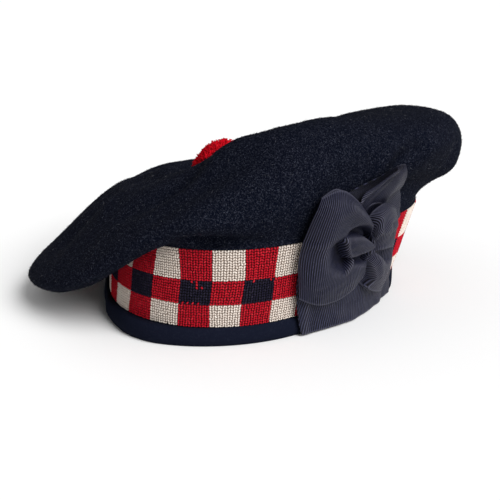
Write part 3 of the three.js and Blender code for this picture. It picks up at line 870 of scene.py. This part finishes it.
def pressed_share(facing):
    """The share of its radius that the ball keeps in a direction: less on the side where it was pressed."""
    angle = np.arccos(np.clip(facing @ TOORIE_PRESSED_FROM, -1, 1))
    return 1 - TOORIE_PRESS * np.exp(-((angle / TOORIE_PRESS_REACH) ** 2))


print("the toorie's middle is", round(toorie_centre[2], 1), "mm high")

# %% Strands of the toorie
STRAND_SIDES = 3
STRAND_RADIUS = 0.53
STRAND_STEPS = np.array([0.62, 0.78, 0.91, 1.0])  # rings along a strand, as shares of its reach
STRAND_SWELL = np.array([1.0, 1.05, 1.1, 0.75])  # its thickness at each ring
STRAND_REACH = (0.92, 1.04)  # shortest and longest, as shares of the ball's radius
STRAND_DRIFT = 0.45
STRAND_STRAIGHT = 0.6  # up to this share of its reach a strand is straight
COVERED = 1.72  # how far down the spiral runs, where 2 would reach the ball's lowest point
GOLDEN_ANGLE = math.pi * (3 - math.sqrt(5))
toorie_rng = np.random.default_rng(21)


def yarn_ends(count):
    """Tubes along bent lines: a line leaves the ball's middle and drifts with the square of its way out."""
    index = np.arange(count)
    rise = 1 - COVERED * (index + 0.5) / count
    ring = np.sqrt(1 - rise**2)
    spin = index * GOLDEN_ANGLE
    facing = np.stack([ring * np.cos(spin), ring * np.sin(spin), rise], -1)
    drift = toorie_rng.normal(0, 1, (count, 3))
    drift -= (drift * facing).sum(-1, keepdims=True) * facing
    reach = TOORIE_RADIUS * toorie_rng.uniform(*STRAND_REACH, (count, 1, 1))
    reach = reach * pressed_share(facing)[:, None, None]
    steps = STRAND_STEPS[None, :, None]
    line = reach * (steps * facing[:, None] + STRAND_DRIFT * (steps - STRAND_STRAIGHT) ** 2 * drift[:, None])
    side = np.cross(facing, drift)
    side /= np.linalg.norm(side, axis=-1, keepdims=True)
    other = np.cross(facing, side)
    angle = np.arange(STRAND_SIDES) * 2 * np.pi / STRAND_SIDES
    circle = np.cos(angle)[:, None] * side[:, None] + np.sin(angle)[:, None] * other[:, None]
    thick = STRAND_RADIUS * STRAND_SWELL[None, :, None, None]
    return line[:, :, None] + thick * circle[:, None]


# %% Toorie yarn ends
STRANDS = 3600
strands = yarn_ends(STRANDS)
strand_size = STRAND_SIDES * len(STRAND_STEPS)
strand_starts = strand_size * np.arange(STRANDS)
strand_quads = grid_quads(len(STRAND_STEPS), STRAND_SIDES, wrap_columns=True)[:, ::-1]
strand_tip = np.arange(strand_size - STRAND_SIDES, strand_size)[None]
strand_base = np.arange(STRAND_SIDES)[None, ::-1]
strand_faces = []
for part in (strand_quads, strand_tip, strand_base):
    strand_faces += (part[None] + strand_starts[:, None, None]).reshape(-1, part.shape[1]).tolist()
strand_points = strands.reshape(-1, 3) + toorie_centre
strand_points[:, 2] = np.maximum(strand_points[:, 2], SEAT_HEIGHT + GAP)
add_piece("toorie_yarn_ends", strand_points, strand_faces, toorie_yarn, "toorie")

# %% [markdown]
# One could see through the ball between its yarn ends, so a woolly head fills it. A sphere would do, but it
# has to be flat where the ball is pressed and cut off where it sits, so it is a grid over directions, too.

# %% Toorie head
HEAD_SHARE = 0.86  # of the ball's radius
HEAD_ROUND = 48
HEAD_RINGS = 24
HEAD_FOOT = -0.66  # tilt of its lowest ring below the middle, in radians
head_turn = np.linspace(0, 2 * np.pi, HEAD_ROUND, endpoint=False)[:, None]
head_tilt = np.linspace(HEAD_FOOT, math.pi / 2, HEAD_RINGS)[None, :-1]
head_x = np.cos(head_tilt) * np.cos(head_turn)
head_y = np.cos(head_tilt) * np.sin(head_turn)
head_z = np.broadcast_to(np.sin(head_tilt), head_x.shape)
head_facing = np.stack([head_x, head_y, head_z], -1)
head = TOORIE_RADIUS * HEAD_SHARE * pressed_share(head_facing)[..., None] * head_facing + toorie_centre
head_faces = grid_quads(*head.shape[:2], wrap_rows=True).tolist()
lowest_ring = np.arange(HEAD_ROUND) * head.shape[1]
head_faces.append(lowest_ring[::-1].tolist())
head_faces.append((lowest_ring + head.shape[1] - 1).tolist())
add_piece("toorie_head", head.reshape(-1, 3), head_faces, toorie_yarn, "toorie")

# %% [markdown]
# ## The cockade
# The cockade is black grosgrain, a ribbon with fine ribs across it. A wide piece hangs from the crown over
# the band, and on it lies a bow: one ring of ribbon, flattened and gathered in the middle, with pleats that
# run out of the gather. Its finish comes first. The ribs are a sine along the ribbon's own length, so they
# bend with each fold. In places they fade, as woven ribs do where the light falls along them.

# %% Ribs
RIB_PITCH = 1.25  # from one rib to the next
RIB_SHARPNESS = 2.4
RIB_MEAN = 0.35  # the tone that faded ribs draw towards
RIB_KEPT = 0.6  # contrast where they are most faded
FADING_SCALE = 90.0


def ribs(tree):
    """Half of one plus a sine along the length, as a height, and its power, in places faded, as the tone that
    sets the painted shade between the ribs.
    """
    split = add_node(tree, "ShaderNodeSeparateXYZ")
    tree.links.new(add_node(tree, "ShaderNodeUVMap", {"uv_map": "ribbon"}).outputs[0], split.inputs[0])
    phase = math_node(tree, "MULTIPLY", split.outputs[0], 2 * math.pi / (RIB_PITCH * MM))
    wave = math_node(tree, "SINE", phase, 0.0)
    height = math_node(tree, "ADD", math_node(tree, "MULTIPLY", wave, 0.5), 0.5)
    tone = math_node(tree, "POWER", height, RIB_SHARPNESS)
    place = add_node(tree, "ShaderNodeTexCoord").outputs["Object"]
    kept = ramp(tree, noise(tree, place, Scale=FADING_SCALE, Detail=2.0), 0.35, 0.6, RIB_KEPT)
    tone = math_node(tree, "MULTIPLY", math_node(tree, "SUBTRACT", tone, RIB_MEAN), kept)
    return height, math_node(tree, "ADD", tone, RIB_MEAN)


# %% [markdown]
# The folds of the black ribbon are painted in light and shade: crests get a painted highlight, hollows
# painted shade, and the woven edge a painted highlight line. Each ribbon carries how far it stands out and
# how near its edge is, and the colours are mixed one over the other by those values.

# %% Ribbon material
RIBBON_ROUGHNESS = 0.5
RIBBON_REFLECTION = 0.14
RIB_RELIEF = 0.0004  # depth of the bump in metres
# painted shade in the grooves between the ribs
GROOVE_SHADE = srgb(4, 4, 8)
# a painted highlight on the crests of the folds, and how strongly it is laid on
CREST_HIGHLIGHT_TO = srgb(124, 122, 138)
CREST_HIGHLIGHT = 0.45  # how far a crest turns to that colour
# a painted highlight line along the ribbon's edges, and how strongly it is laid on
EDGE_HIGHLIGHT_TO = srgb(90, 90, 106)
EDGE_HIGHLIGHT = 0.42
EDGE_FROM, EDGE_UPTO = 0.3, 1.1  # where the woven edge fades, in mm from the rim
# painted shade in the hollows of the folds
SHADED_TO = srgb(12, 12, 20)
SHADED = 0.65


def ribbon_material():
    """Fibres with a painted highlight on the crests, painted shade in the grooves between ribs, then the
    painted highlight line along the edge and painted shade in the hollows over them.
    """
    material, tree, shader = new_material("black_grosgrain", RIBBON_ROUGHNESS)
    height, tone = ribs(tree)
    add_bump(tree, shader, height, 1.0, RIB_RELIEF)
    group = fibre_group(tree, share=0.5, scale=1.6, Ground=srgb(48, 50, 76), Fibre=srgb(112, 112, 136))
    crest = carried(tree, "crest")
    edge = carried(tree, "edge_mm")
    colour = mix_colour(tree, ramp(tree, crest, 0.0, 1.0, 0.0, CREST_HIGHLIGHT), group.outputs["Color"], CREST_HIGHLIGHT_TO)
    colour = mix_colour(tree, tone, GROOVE_SHADE, colour)
    colour = mix_colour(tree, ramp(tree, edge, EDGE_FROM, EDGE_UPTO, EDGE_HIGHLIGHT, 0.0), colour, EDGE_HIGHLIGHT_TO)
    colour = mix_colour(tree, ramp(tree, crest, 0.0, -1.0, 0.0, SHADED), colour, SHADED_TO)
    tree.links.new(colour, shader.inputs["Base Color"])
    shader.inputs["Specular IOR Level"].default_value = RIBBON_REFLECTION
    return material


grosgrain = ribbon_material()
print("ribbon material has", len(grosgrain.node_tree.nodes), "nodes")

# %% [markdown]
# ## Where the cockade lies
# The ribbon lies partly on the crown and partly hangs in front of the band. So that everything on the cockade
# can be placed by length along the band, height, and distance off what lies behind, that surface is charted:
# at each bearing and height, the reach of the crown. Casting rays at the mesh would do it too, but a chart
# is smooth and quick.

# %% Chart of the crown's side
COCKADE_BEARING = math.radians(340.6)
CHART_LEFT = 0.75  # in radians from the cockade
CHART_RIGHT = 0.6
CHART_STEPS = 60
CHART_TOP = 130  # charted at each millimetre of height
CHART_KNOTS = 4  # how far up the section it goes
CHART_SLOPE = 1.2  # how fast the charted reach falls below the crown's lower edge
chart_bearing = np.linspace(COCKADE_BEARING - CHART_LEFT, COCKADE_BEARING + CHART_RIGHT, CHART_STEPS)
chart_height = np.linspace(0, CHART_TOP, CHART_TOP + 1)
side_path = smooth_path(crown_knots(chart_bearing), np.linspace(0, CHART_KNOTS, CHART_STEPS))
side_reach = np.hypot(side_path[..., 0], side_path[..., 1])
crown_chart = np.array([
    np.interp(chart_height, path[:, 2], reach) - CHART_SLOPE * np.maximum(0, path[0, 2] - chart_height)
    for path, reach in zip(side_path, side_reach)
])


def crown_reach(bearing, height):
    """How far the crown stands out at a bearing and height, straight between the chart's four nearest."""
    i = (bearing - chart_bearing[0]) / (chart_bearing[1] - chart_bearing[0])
    i = np.clip(i, 0, len(chart_bearing) - 1.001)
    j = np.clip(height, 0, len(chart_height) - 1.001)
    a = np.floor(i).astype(int)
    b = np.floor(j).astype(int)
    s = i - a
    t = j - b
    low = crown_chart[a, b] * (1 - s) + crown_chart[a + 1, b] * s
    high = crown_chart[a, b + 1] * (1 - s) + crown_chart[a + 1, b + 1] * s
    return low * (1 - t) + high * t


print("the charted crown reaches out to", round(crown_chart.max(), 1), "mm")

# %% [markdown]
# With the chart, a place on the cockade is three lengths. Where band and crown stand out equally far, the
# ribbon bridges the corner between them in a soft curve, which a square root gives.

# %% Places on the cockade
HANG_LEFT = 4.5  # how far the ribbon hangs off the band, clear of the welt
HANG_RIGHT = 2.4  # closer on the right, where the welt is pressed flat
HANG_RISE = 0.02  # and this much further there for each millimetre of height
HANG_TURN = 30.0  # length along the band from the one to the other
RIBBON_CLEARANCE = 2.0  # how far it lies off the crown
FOOT_FLARE = 5.0  # how far its foot stands out in the middle
FOOT_FLARE_HEIGHT = 40.0
FLARE_LEFT = -53.0
FLARE_RIGHT = 33.0


def smooth_step(share):
    """An even ramp from 0 to 1 made smooth at both ends: three squares less two cubes."""
    return share**2 * (3 - 2 * share)


def cockade_point(along, height, off, rounding=2.0):
    """A point at a length along the band from the gather, at a height, standing off what lies behind it.

    What lies behind is the band or the crown, whichever stands out further, with the corner between rounded.
    """
    along, height, off = np.broadcast_arrays(along, height, off)
    bearing = COCKADE_BEARING + along / HEAD_RADIUS
    middle = np.sin(np.pi * np.clip((along - FLARE_LEFT) / (FLARE_RIGHT - FLARE_LEFT), 0, 1))
    flare = FOOT_FLARE * middle * np.maximum(0, 1 - height / FOOT_FLARE_HEIGHT) ** 2
    close = smooth_step(np.clip(along / HANG_TURN, 0, 1))
    hang_off = HANG_LEFT + close * (HANG_RIGHT + HANG_RISE * height - HANG_LEFT)
    hang = band_point(bearing, height, hang_off + flare)
    on_band = np.hypot(hang[..., 0], hang[..., 1])
    on_crown = crown_reach(bearing, height) + RIBBON_CLEARANCE
    reach = (on_band + on_crown + np.sqrt((on_band - on_crown) ** 2 + rounding**2)) / 2 + off
    return np.stack([reach * np.cos(bearing), reach * np.sin(bearing), height], -1)


# %% [markdown]
# ## Ribbon as a sheet
# A ribbon is thin but has two sides and an edge, so each grid is moved half the thickness to both sides and
# closed all round. A Solidify modifier would do the same, but then the map and the carried values would have
# to follow it. The map holds lengths in metres, which keeps the ribs equally wide on every ribbon.

# %% Sheets
RIBBON_WALL = 0.8
# a crest this high gets the whole painted highlight, and a hollow this deep the whole painted shade
CREST_REACH = 1.0  # height above its surroundings at which a crest is fully rubbed
CREST_SMOOTHING = 14  # passes, each of which spreads the smoothed surface a little wider


def closed_sheet(grid, normal):
    """Points and faces of a sheet: the grid moved to both sides, joined at the long edges and the ends."""
    front = grid + normal * RIBBON_WALL / 2
    back = grid - normal * RIBBON_WALL / 2
    section = np.concatenate([front, back[:, ::-1]], 1)
    rows, columns = section.shape[:2]
    i = np.arange(columns // 2 - 1)
    end = np.stack([i, i + 1, columns - 2 - i, columns - 1 - i], 1)
    other_end = end[:, ::-1] + (rows - 1) * columns
    faces = np.concatenate([grid_quads(rows, columns, wrap_columns=True), end, other_end])
    return section.reshape(-1, 3), faces.tolist()


def crest_of(grid, normal):
    """How far each point stands above the smoothed surface round it, in shares of CREST_REACH."""
    smooth = grid
    for _ in range(CREST_SMOOTHING):
        for axis in (0, 1):
            wide = np.pad(smooth, [(1, 1) if k == axis else (0, 0) for k in range(3)], mode="edge")
            before, after = (wide[:-2], wide[2:]) if axis == 0 else (wide[:, :-2], wide[:, 2:])
            smooth = (before + 2 * smooth + after) / 4
    return np.clip(((grid - smooth) * normal).sum(-1) / CREST_REACH, -1, 1)


def travelled(grid, axis):
    """The mean length travelled along one direction of a grid, from 0 to its end, in metres."""
    step = np.linalg.norm(np.diff(grid, axis=axis), axis=-1).mean(1 - axis)
    return np.concatenate([[0], np.cumsum(step)]) * MM


# %% Ribbon pieces
def ribbon_piece(name, grid, node, slant=0, highlight_lift=0.0):
    """A ribbon about a grid of points, with its lengths as a UV map, its edges and its crests.

    The map turns by slant, in degrees, where the ribbon hangs askew. The highlight lift is added to the
    crests of a ribbon that is painted paler all over, as a painted highlight.
    """
    normal = grid_normals(grid)
    points, faces = closed_sheet(grid, normal)
    piece = add_piece(name, points, faces, grosgrain, node)
    length = travelled(grid, 0)
    width = travelled(grid, 1)
    both = np.concatenate([width, width[::-1]])
    turned = length[:, None] * math.cos(math.radians(slant)) - both * math.sin(math.radians(slant))
    point_uv = np.stack([turned, np.broadcast_to(both, turned.shape)], -1).reshape(-1, 2)
    corner = np.zeros(len(piece.data.loops), np.int32)
    piece.data.loops.foreach_get("vertex_index", corner)
    layer = piece.data.uv_layers.new(name="ribbon")
    layer.uv.foreach_set("vector", point_uv[corner].astype(np.float32).ravel())
    from_edge = np.minimum(both, width[-1] - both) / MM
    carry_value(piece, "edge_mm", np.broadcast_to(from_edge, turned.shape))
    # crests carry the painted highlight and hollows the painted shade
    crest = np.clip(crest_of(grid, normal) + highlight_lift, -1, 1)
    carry_value(piece, "crest", np.concatenate([crest, -crest[:, ::-1]], 1))
    print(name, "is", round(length[-1] / MM), "mm long and", round(width[-1] / MM), "mm wide")
    return piece, length[-1], width[-1]


# %% [markdown]
# ## The hanging ribbon
# The wide ribbon behind the bow hangs from the crown over the band down to the binding. Its two edges are
# given at a few heights, and the cloth is ruled straight between them. A real ribbon is never flat after it
# has been sewn on, so folds are laid over it as lines with a width and a rise, and a slight unevenness over
# all.

# %% Folds of a ribbon
RIBBON_LUMPS = ((0.6, 11), (0.3, 5))  # height and length of its unevenness
HANGING_LUMPS = 0.6  # a hanging ribbon shows this share of them
HANGING_SEED = 31
RIPPLE_RATE = 0.9  # waves of a rippled edge, in radians for each millimetre


def fold_lift(along, height, folds):
    """Sum of ridges and hollows: each fades with the square of the distance from its line."""
    flat = np.stack([along, height], -1)
    lift = np.zeros(along.shape)
    for start, end, width, rise in folds:
        distance, _ = nearest_on_line(flat, np.array(start, float), np.array(end, float))
        lift = lift + rise * np.exp(-((distance / width) ** 2))
    return lift


def cloth_lumps(along, height, seed):
    """The slight unevenness of ribbon that was handled: soft waves of two lengths."""
    flat = np.stack([along, height, np.zeros_like(along)], -1)
    return sum(rise * soft_lumps(flat, size, seed + k) for k, (rise, size) in enumerate(RIBBON_LUMPS))


def hanging_grid(edges, heights, columns, folds, off=0.0, ripple=0.0):
    """Ruled between two edges given by height, with folds and unevenness; ripple waves the right edge."""
    left = np.interp(heights, edges[:, 0], edges[:, 1])
    right = np.interp(heights, edges[:, 0], edges[:, 2]) + ripple * np.sin(heights * RIPPLE_RATE)
    along = left + np.linspace(0, 1, columns)[:, None] * (right - left)
    high = np.broadcast_to(heights, along.shape)
    lift = off + fold_lift(along, high, folds) + HANGING_LUMPS * cloth_lumps(along, high, HANGING_SEED)
    return cockade_point(along, high, lift)


# %% Backing ribbon
BACKING_EDGES = np.array([  # height, then the left and right edges along the band
    (0.6, -50, 46),
    (7, -51.5, 47),
    (17, -53, 42),
    (31, -54, 33.5),
    (54, -51, 27),
    (64, -48, 24),
    (73, -43, 18),
    (84, -26, 8),
    (89, -10, 6),
    (94.5, -1, 3.5),
], float)
BACKING_FOLDS = (  # two ends as along and height, half-width, and rise
    ((-12, 76), (0, 93), 3.0, 2.0),
    ((-4, 70), (4, 88), 2.5, -0.8),
    ((8, 66), (6, 84), 2.5, 1.6),
    ((-34, 14), (-12, 2), 6, 1.0),
    ((4, 24), (26, 4), 5, 1.6),
    ((-46, 22), (-48, 3), 3.5, 1.2),
)
BACKING_SLANT = 20
backing_grid = hanging_grid(BACKING_EDGES, np.linspace(0.9, 94.5, 94), 90, BACKING_FOLDS, ripple=0.4)
backing, backing_long, backing_wide = ribbon_piece(
    "cockade_ribbon", backing_grid, "cockade_backing", BACKING_SLANT
)

# %% [markdown]
# ## The bow
# The bow's folds all run into the gather, so each loop is drawn by the lines of its pleats. Cloth simulation
# could pleat it, but these folds are set by how it was sewn. A line is a few stations from the gather to the
# loop's end, and the cloth is a smooth surface over neighbouring lines. Behind, the ribbon comes back flat to
# the gather.

# %% Pleat lines
def pleat_line(*stations):
    """One line of a pleat: along, height and distance off the backing at each station from the gather."""
    return np.array(stations, float)


LEFT_LOOP = np.array([  # from the loop's lower edge to its upper edge
    pleat_line((-7.5, 41.5, 7), (-10, 29, 8), (-25, 20.5, 8), (-42, 19, 6), (-53, 24, 2.8)),
    pleat_line((-8, 43, 9.5), (-15, 35, 10.5), (-30, 30, 11.5), (-44, 31, 10.5), (-54, 36, 3)),
    pleat_line((-8, 45, 10), (-18, 41.5, 11), (-30, 40, 12), (-44, 42, 12), (-54.5, 46, 3)),
    pleat_line((-8.5, 47, 10.5), (-20, 47.5, 11.5), (-30, 48, 12), (-44, 50, 12.5), (-53.5, 54, 3)),
    pleat_line((-8.5, 49.5, 10.5), (-20, 55, 12), (-30, 56, 12), (-43, 58, 12.5), (-52, 62, 3)),
    pleat_line((-9.5, 52, 10), (-19, 60.5, 12), (-30, 66, 12), (-42, 68, 12), (-50.5, 70, 3)),
    pleat_line((-11.5, 55, 10.5), (-16.5, 63.5, 12), (-29, 74.5, 12.5), (-40, 80.5, 10.5), (-48.5, 78, 3.5)),
    pleat_line((-11.5, 56, 6), (-15, 64.5, 7.5), (-28.5, 80.5, 7), (-37.5, 87.3, 5), (-46.5, 84, 2.8)),
])
RIGHT_LOOP = np.array([
    pleat_line((-8, 41.5, 4), (-7, 27, 4.5), (3, 16.5, 4.5), (24, 9, 3)),
    pleat_line((-8, 42.5, 5.5), (-5, 33, 9), (5, 24, 9), (25, 17, 4)),
    pleat_line((-8, 43.5, 6.5), (-2, 37, 10.5), (8, 31.5, 10), (24.5, 27, 4.5)),
    pleat_line((-8, 45, 6.5), (-1, 42, 10), (9, 39, 9), (21.5, 36, 4.5)),
    pleat_line((-8, 47, 6.5), (-2, 47.5, 11), (8, 46, 10), (18.5, 43.5, 4.5)),
    pleat_line((-8, 49, 7), (-4, 54, 12), (5, 54.5, 11), (15, 51.5, 4.5)),
    pleat_line((-8.5, 50, 7), (-9, 60, 12), (0, 63.5, 11), (12.3, 60.5, 4.5)),
    pleat_line((-9, 51, 6), (-10.5, 65.5, 10.5), (-3, 70, 9.5), (10, 66.5, 4)),
    pleat_line((-9.5, 51.5, 4), (-13, 66.5, 5.5), (-8, 72.3, 6), (6, 69.3, 3)),
])
print("pleat lines of the left and right loop:", len(LEFT_LOOP), "and", len(RIGHT_LOOP))

# %% [markdown]
# Where pleats meet the gather the ribbon also sinks into pockets with sharp lips, and one tongue stands up
# between them. A smooth surface can't hold a lip, so each pocket is an outline of straight sides, and inside
# all of them the cloth is drawn to the pocket's level. A side may be sharp or soft. Creases come on top.

# %% Pockets and creases
# a pocket or a raised fold: its level, then each side's start as along and height, and how softly it ramps
LEFT_POCKETS = (
    (-6.5, ((-27.6, 38.5, 1.8), (-23.4, 44.8, 4), (-29.2, 59.5, 7), (-40, 57, 11), (-38, 41, 8))),
    (-5.8, ((-29, 57, 2.5), (-10, 49.5, 1.5), (-12.5, 57, 3), (-16.5, 62, 5), (-24, 65, 6), (-31, 62, 5))),
    (-6.0, ((-9, 38, 1.5), (-9, 46.8, 1.2), (-23.5, 45, 2), (-23, 41, 4), (-16.6, 38.5, 4))),
    (0.4, (
        (-7, 47.2, 1), (-7, 47.8, 2), (-10.5, 50.6, 2.2), (-16.4, 55.2, 2.4), (-22.3, 58.6, 2.6),
        (-32, 60, 3), (-33.5, 58, 3), (-31.4, 52, 3), (-27.2, 45.2, 1.4), (-16.9, 45.9, 1.2),
    )),
)
RIGHT_POCKETS = (
    (-5.5, ((-4, 43.2, 1.6), (9, 32, 2.5), (19, 32, 3), (17, 41.2, 1.2), (3.9, 43.9, 1.2), (-4, 43.8, 1))),
    (-4.5, ((-11, 20, 2), (0.5, 19, 2.5), (1.5, 25, 2.5), (-2.5, 31, 2.2), (-6.5, 37.5, 2), (-13, 34, 2))),
    (-1.5, ((2, 49, 3), (12, 49, 3), (9, 61, 3), (0, 61, 4))),
)
# two ends of a crease or ridge as along and height, half-width, and rise
LEFT_FOLDS = (
    ((-27.6, 38.2), (-23.6, 44.4), 1.5, 1.2),
    ((-28.2, 47), (-32.2, 57), 1.4, 0.8),
    ((-12, 49.6), (-25, 53), 3.4, 1.2),
    ((-17, 63.5), (-33, 78), 2.5, 0.8),
)
RIGHT_FOLDS = (
    ((-9.8, 65.5), (-8.3, 52), 1.6, 1.2),
    ((-3, 44.8), (15, 42.8), 1.4, 0.8),
    ((0, 36), (6.5, 25), 1.8, 0.8),
)


def pocket_lift(along, height, pockets):
    """Pockets and raised folds in turn: each draws the cloth to its level inside all of its sides.

    A side runs from its start to the next one's, anticlockwise, and its share grows over its own softness.
    """
    lift = np.zeros(along.shape)
    for level, sides in pockets:
        share = np.ones(along.shape)
        starts = np.array(sides)
        for (x, y, soft), (next_x, next_y, _) in zip(starts, np.roll(starts, -1, 0)):
            inside = (next_x - x) * (height - y) - (next_y - y) * (along - x)
            ramped = np.clip(inside / math.hypot(next_x - x, next_y - y) / soft + 0.5, 0, 1)
            share = share * smooth_step(ramped)
        lift = lift + (level - lift) * share
    return lift


# %% [markdown]
# Now each loop is laid out: its pleats, then pockets and creases on the front, and a slight unevenness. The
# smaller loop is painted paler all over, a painted highlight for the light that falls on its side.

# %% Bow loops
LOOP_BACK = 1.5  # how far the ribbon's way back lies off the backing
LOOP_LEAST = 1.2  # and how near any of it may come
LOOP_ALONG = 161
LOOP_ACROSS = 111
LOOP_SEED = 41
LOOP_ROUNDING = (2, 6)  # where the loop lies close to what is behind it, and far off
LOOP_FAR = 10
# a painted highlight over the whole right loop, for the light on its side
RIGHT_HIGHLIGHT = 0.4  # the right loop is rubbed all over


def loop_grid(lines, pockets, folds):
    """A smooth surface over the lines: out along the front, round the end, and back close to the backing.

    Pockets and folds are added on the front alone and fade out at its end.
    """
    way_back = lines[:, -2::-1].copy()
    way_back[..., 2] = LOOP_BACK
    stations = np.concatenate([lines, way_back], 1)
    places = np.linspace(0, stations.shape[1] - 1, LOOP_ALONG)
    pleats = np.swapaxes(smooth_path(stations, places), 0, 1)
    grid = smooth_path(pleats, np.linspace(0, len(lines) - 1, LOOP_ACROSS))
    along, height, off = np.moveaxis(grid, -1, 0)
    on_front = np.clip(2 * (lines.shape[1] - 1.5 - places), 0, 1)[:, None]
    lift = pocket_lift(along, height, pockets) + fold_lift(along, height, folds)
    off = off + on_front * (lift + cloth_lumps(along, height, LOOP_SEED))
    close, far = LOOP_ROUNDING
    rounding = close + (far - close) * np.clip(off / LOOP_FAR, 0, 1)
    return cockade_point(along, height, np.maximum(off, LOOP_LEAST), rounding)


for label, lines, pockets, folds, highlight_lift in (
    ("left", LEFT_LOOP, LEFT_POCKETS, LEFT_FOLDS, 0.0),
    ("right", RIGHT_LOOP, RIGHT_POCKETS, RIGHT_FOLDS, RIGHT_HIGHLIGHT),
):
    grid = loop_grid(lines, pockets, folds)
    loop, loop_long, loop_wide = ribbon_piece(f"cockade_{label}_loop", grid, "cockade_bow", highlight_lift=highlight_lift)

# %% [markdown]
# ## The ribbon's turned end
# Above the bow the ribbon's end is folded over into a point. It lies on the hanging ribbon and is made in the
# same way, a little further out and with its own folds.

# %% Ribbon end
TAIL_EDGES = np.array([  # height, then the left and right edges along the band
    (58, -14, 21),
    (66, -17, 20),
    (72, -22, 18.5),
    (76.5, -23, 14.5),
    (82, -18.5, 10),
    (85, -13.5, 8),
    (88, -9.4, 6.2),
    (92, -4, 4),
    (95, 0.6, 2.6),
], float)
TAIL_FOLDS = (
    ((-19, 67), (-22, 76.5), 1.8, 2.0),
    ((-21.5, 77), (-3, 92), 1.8, 2.2),
    ((-9, 66), (-6, 86), 2.6, -1.0),
    ((4, 64), (1, 88), 3.0, 1.4),
)
TAIL_OFF = 1.6
TAIL_SLANT = 50
tail_grid = hanging_grid(TAIL_EDGES, np.linspace(58, 95, 46), 46, TAIL_FOLDS, off=TAIL_OFF)
tail, tail_long, tail_wide = ribbon_piece("cockade_ribbon_end", tail_grid, "cockade_backing", TAIL_SLANT)

# %% [markdown]
# ## Floor, light and camera
# The bonnet stands on a plain pale floor, so wide that its edge is never seen. The Standard view shows pale
# floor as white, as in the photograph.

# %% Floor
FLOOR_HALF = 30  # in metres, as is the next
FLOOR_DROP = 0.0002  # just below the binding
FLOOR_COLOUR = (0.95, 0.95, 0.95, 1)
FLOOR_ROUGHNESS = 0.9
bpy.context.scene.view_settings.view_transform = "Standard"
floor_corners = np.array([(-1, -1, 0), (1, -1, 0), (1, 1, 0), (-1, 1, 0)]) * FLOOR_HALF
floor_mesh = bpy.data.meshes.new("floor")
floor_mesh.from_pydata((floor_corners - np.array([0, 0, FLOOR_DROP])).tolist(), [], [(0, 1, 2, 3)])
floor_paint, _, floor_shader = new_material("floor_paint", FLOOR_ROUGHNESS)
floor_shader.inputs["Base Color"].default_value = FLOOR_COLOUR
floor_mesh.materials.append(floor_paint)
floor = bpy.data.objects.new("floor", floor_mesh)
bpy.context.scene.collection.objects.link(floor)
floor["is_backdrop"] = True
print("the floor is", 2 * FLOOR_HALF, "m wide")

# %% [markdown]
# One broad sun and even surroundings light the scene. Small lamps would give hard shadows. A sun that is wide
# in the sky gives a soft one, and dark felt still shows its form because one side is lighter.

# %% Lights
SUN_FROM = (0.68, -0.36, 0.64)  # high on the right of the camera
SUN_ENERGY = 3.5
SUN_WIDTH = math.radians(40)
SURROUND_STRENGTH = 0.4
world = bpy.data.worlds.new("studio")
world.use_nodes = True
surround = world.node_tree.nodes["Background"]
surround.inputs["Color"].default_value = (1, 1, 1, 1)
surround.inputs["Strength"].default_value = SURROUND_STRENGTH
bpy.context.scene.world = world
sun_data = bpy.data.lights.new("sun", "SUN")
sun_data.energy = SUN_ENERGY
sun_data.angle = SUN_WIDTH
sun = bpy.data.objects.new("sun", sun_data)
sun.rotation_mode = "QUATERNION"
sun.rotation_quaternion = Vector(SUN_FROM).to_track_quat("Z", "Y")
bpy.context.scene.collection.objects.link(sun)
print("the sun stands", round(math.degrees(math.asin(Vector(SUN_FROM).normalized().z))), "degrees high")

# %% [markdown]
# The camera stands where the photograph was taken: in front, a little to the wearer's left and a little
# above. Its turn, rise, distance and lens are those that bring the corners of the dicing to their places.

# %% Camera
CAMERA_TURN = math.radians(19.4)
CAMERA_RISE = math.radians(19.1)
CAMERA_DISTANCE = 0.720  # in metres from the foot of the band's axis
CAMERA_SENSOR = 36
CAMERA_LENS = 80.57
CAMERA_SHIFT = (0.0168, 0.0686)
camera_data = bpy.data.cameras.new("camera")
camera_data.sensor_width = CAMERA_SENSOR
camera_data.lens = CAMERA_LENS
camera_data.shift_x, camera_data.shift_y = CAMERA_SHIFT
camera = bpy.data.objects.new("camera", camera_data)
backward = np.array([
    math.sin(CAMERA_TURN) * math.cos(CAMERA_RISE),
    -math.cos(CAMERA_TURN) * math.cos(CAMERA_RISE),
    math.sin(CAMERA_RISE),
])
camera.location = BAND_AXIS * MM + CAMERA_DISTANCE * backward
camera.rotation_mode = "QUATERNION"
camera.rotation_quaternion = Vector(-backward).to_track_quat("-Z", "Y")
bpy.context.scene.collection.objects.link(camera)
bpy.context.scene.camera = camera
print("the camera stands at", [round(v, 3) for v in camera.location])

# %% [markdown]
# ## The size
# The box that the dressed bonnet fills is printed, as it should stand only a little proud of the solids.

# %% Finish
visual_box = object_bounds()
lowest, highest = ([round(v, 4) for v in corner] for corner in visual_box)
print("the dressed bonnet reaches from", lowest, "to", highest)
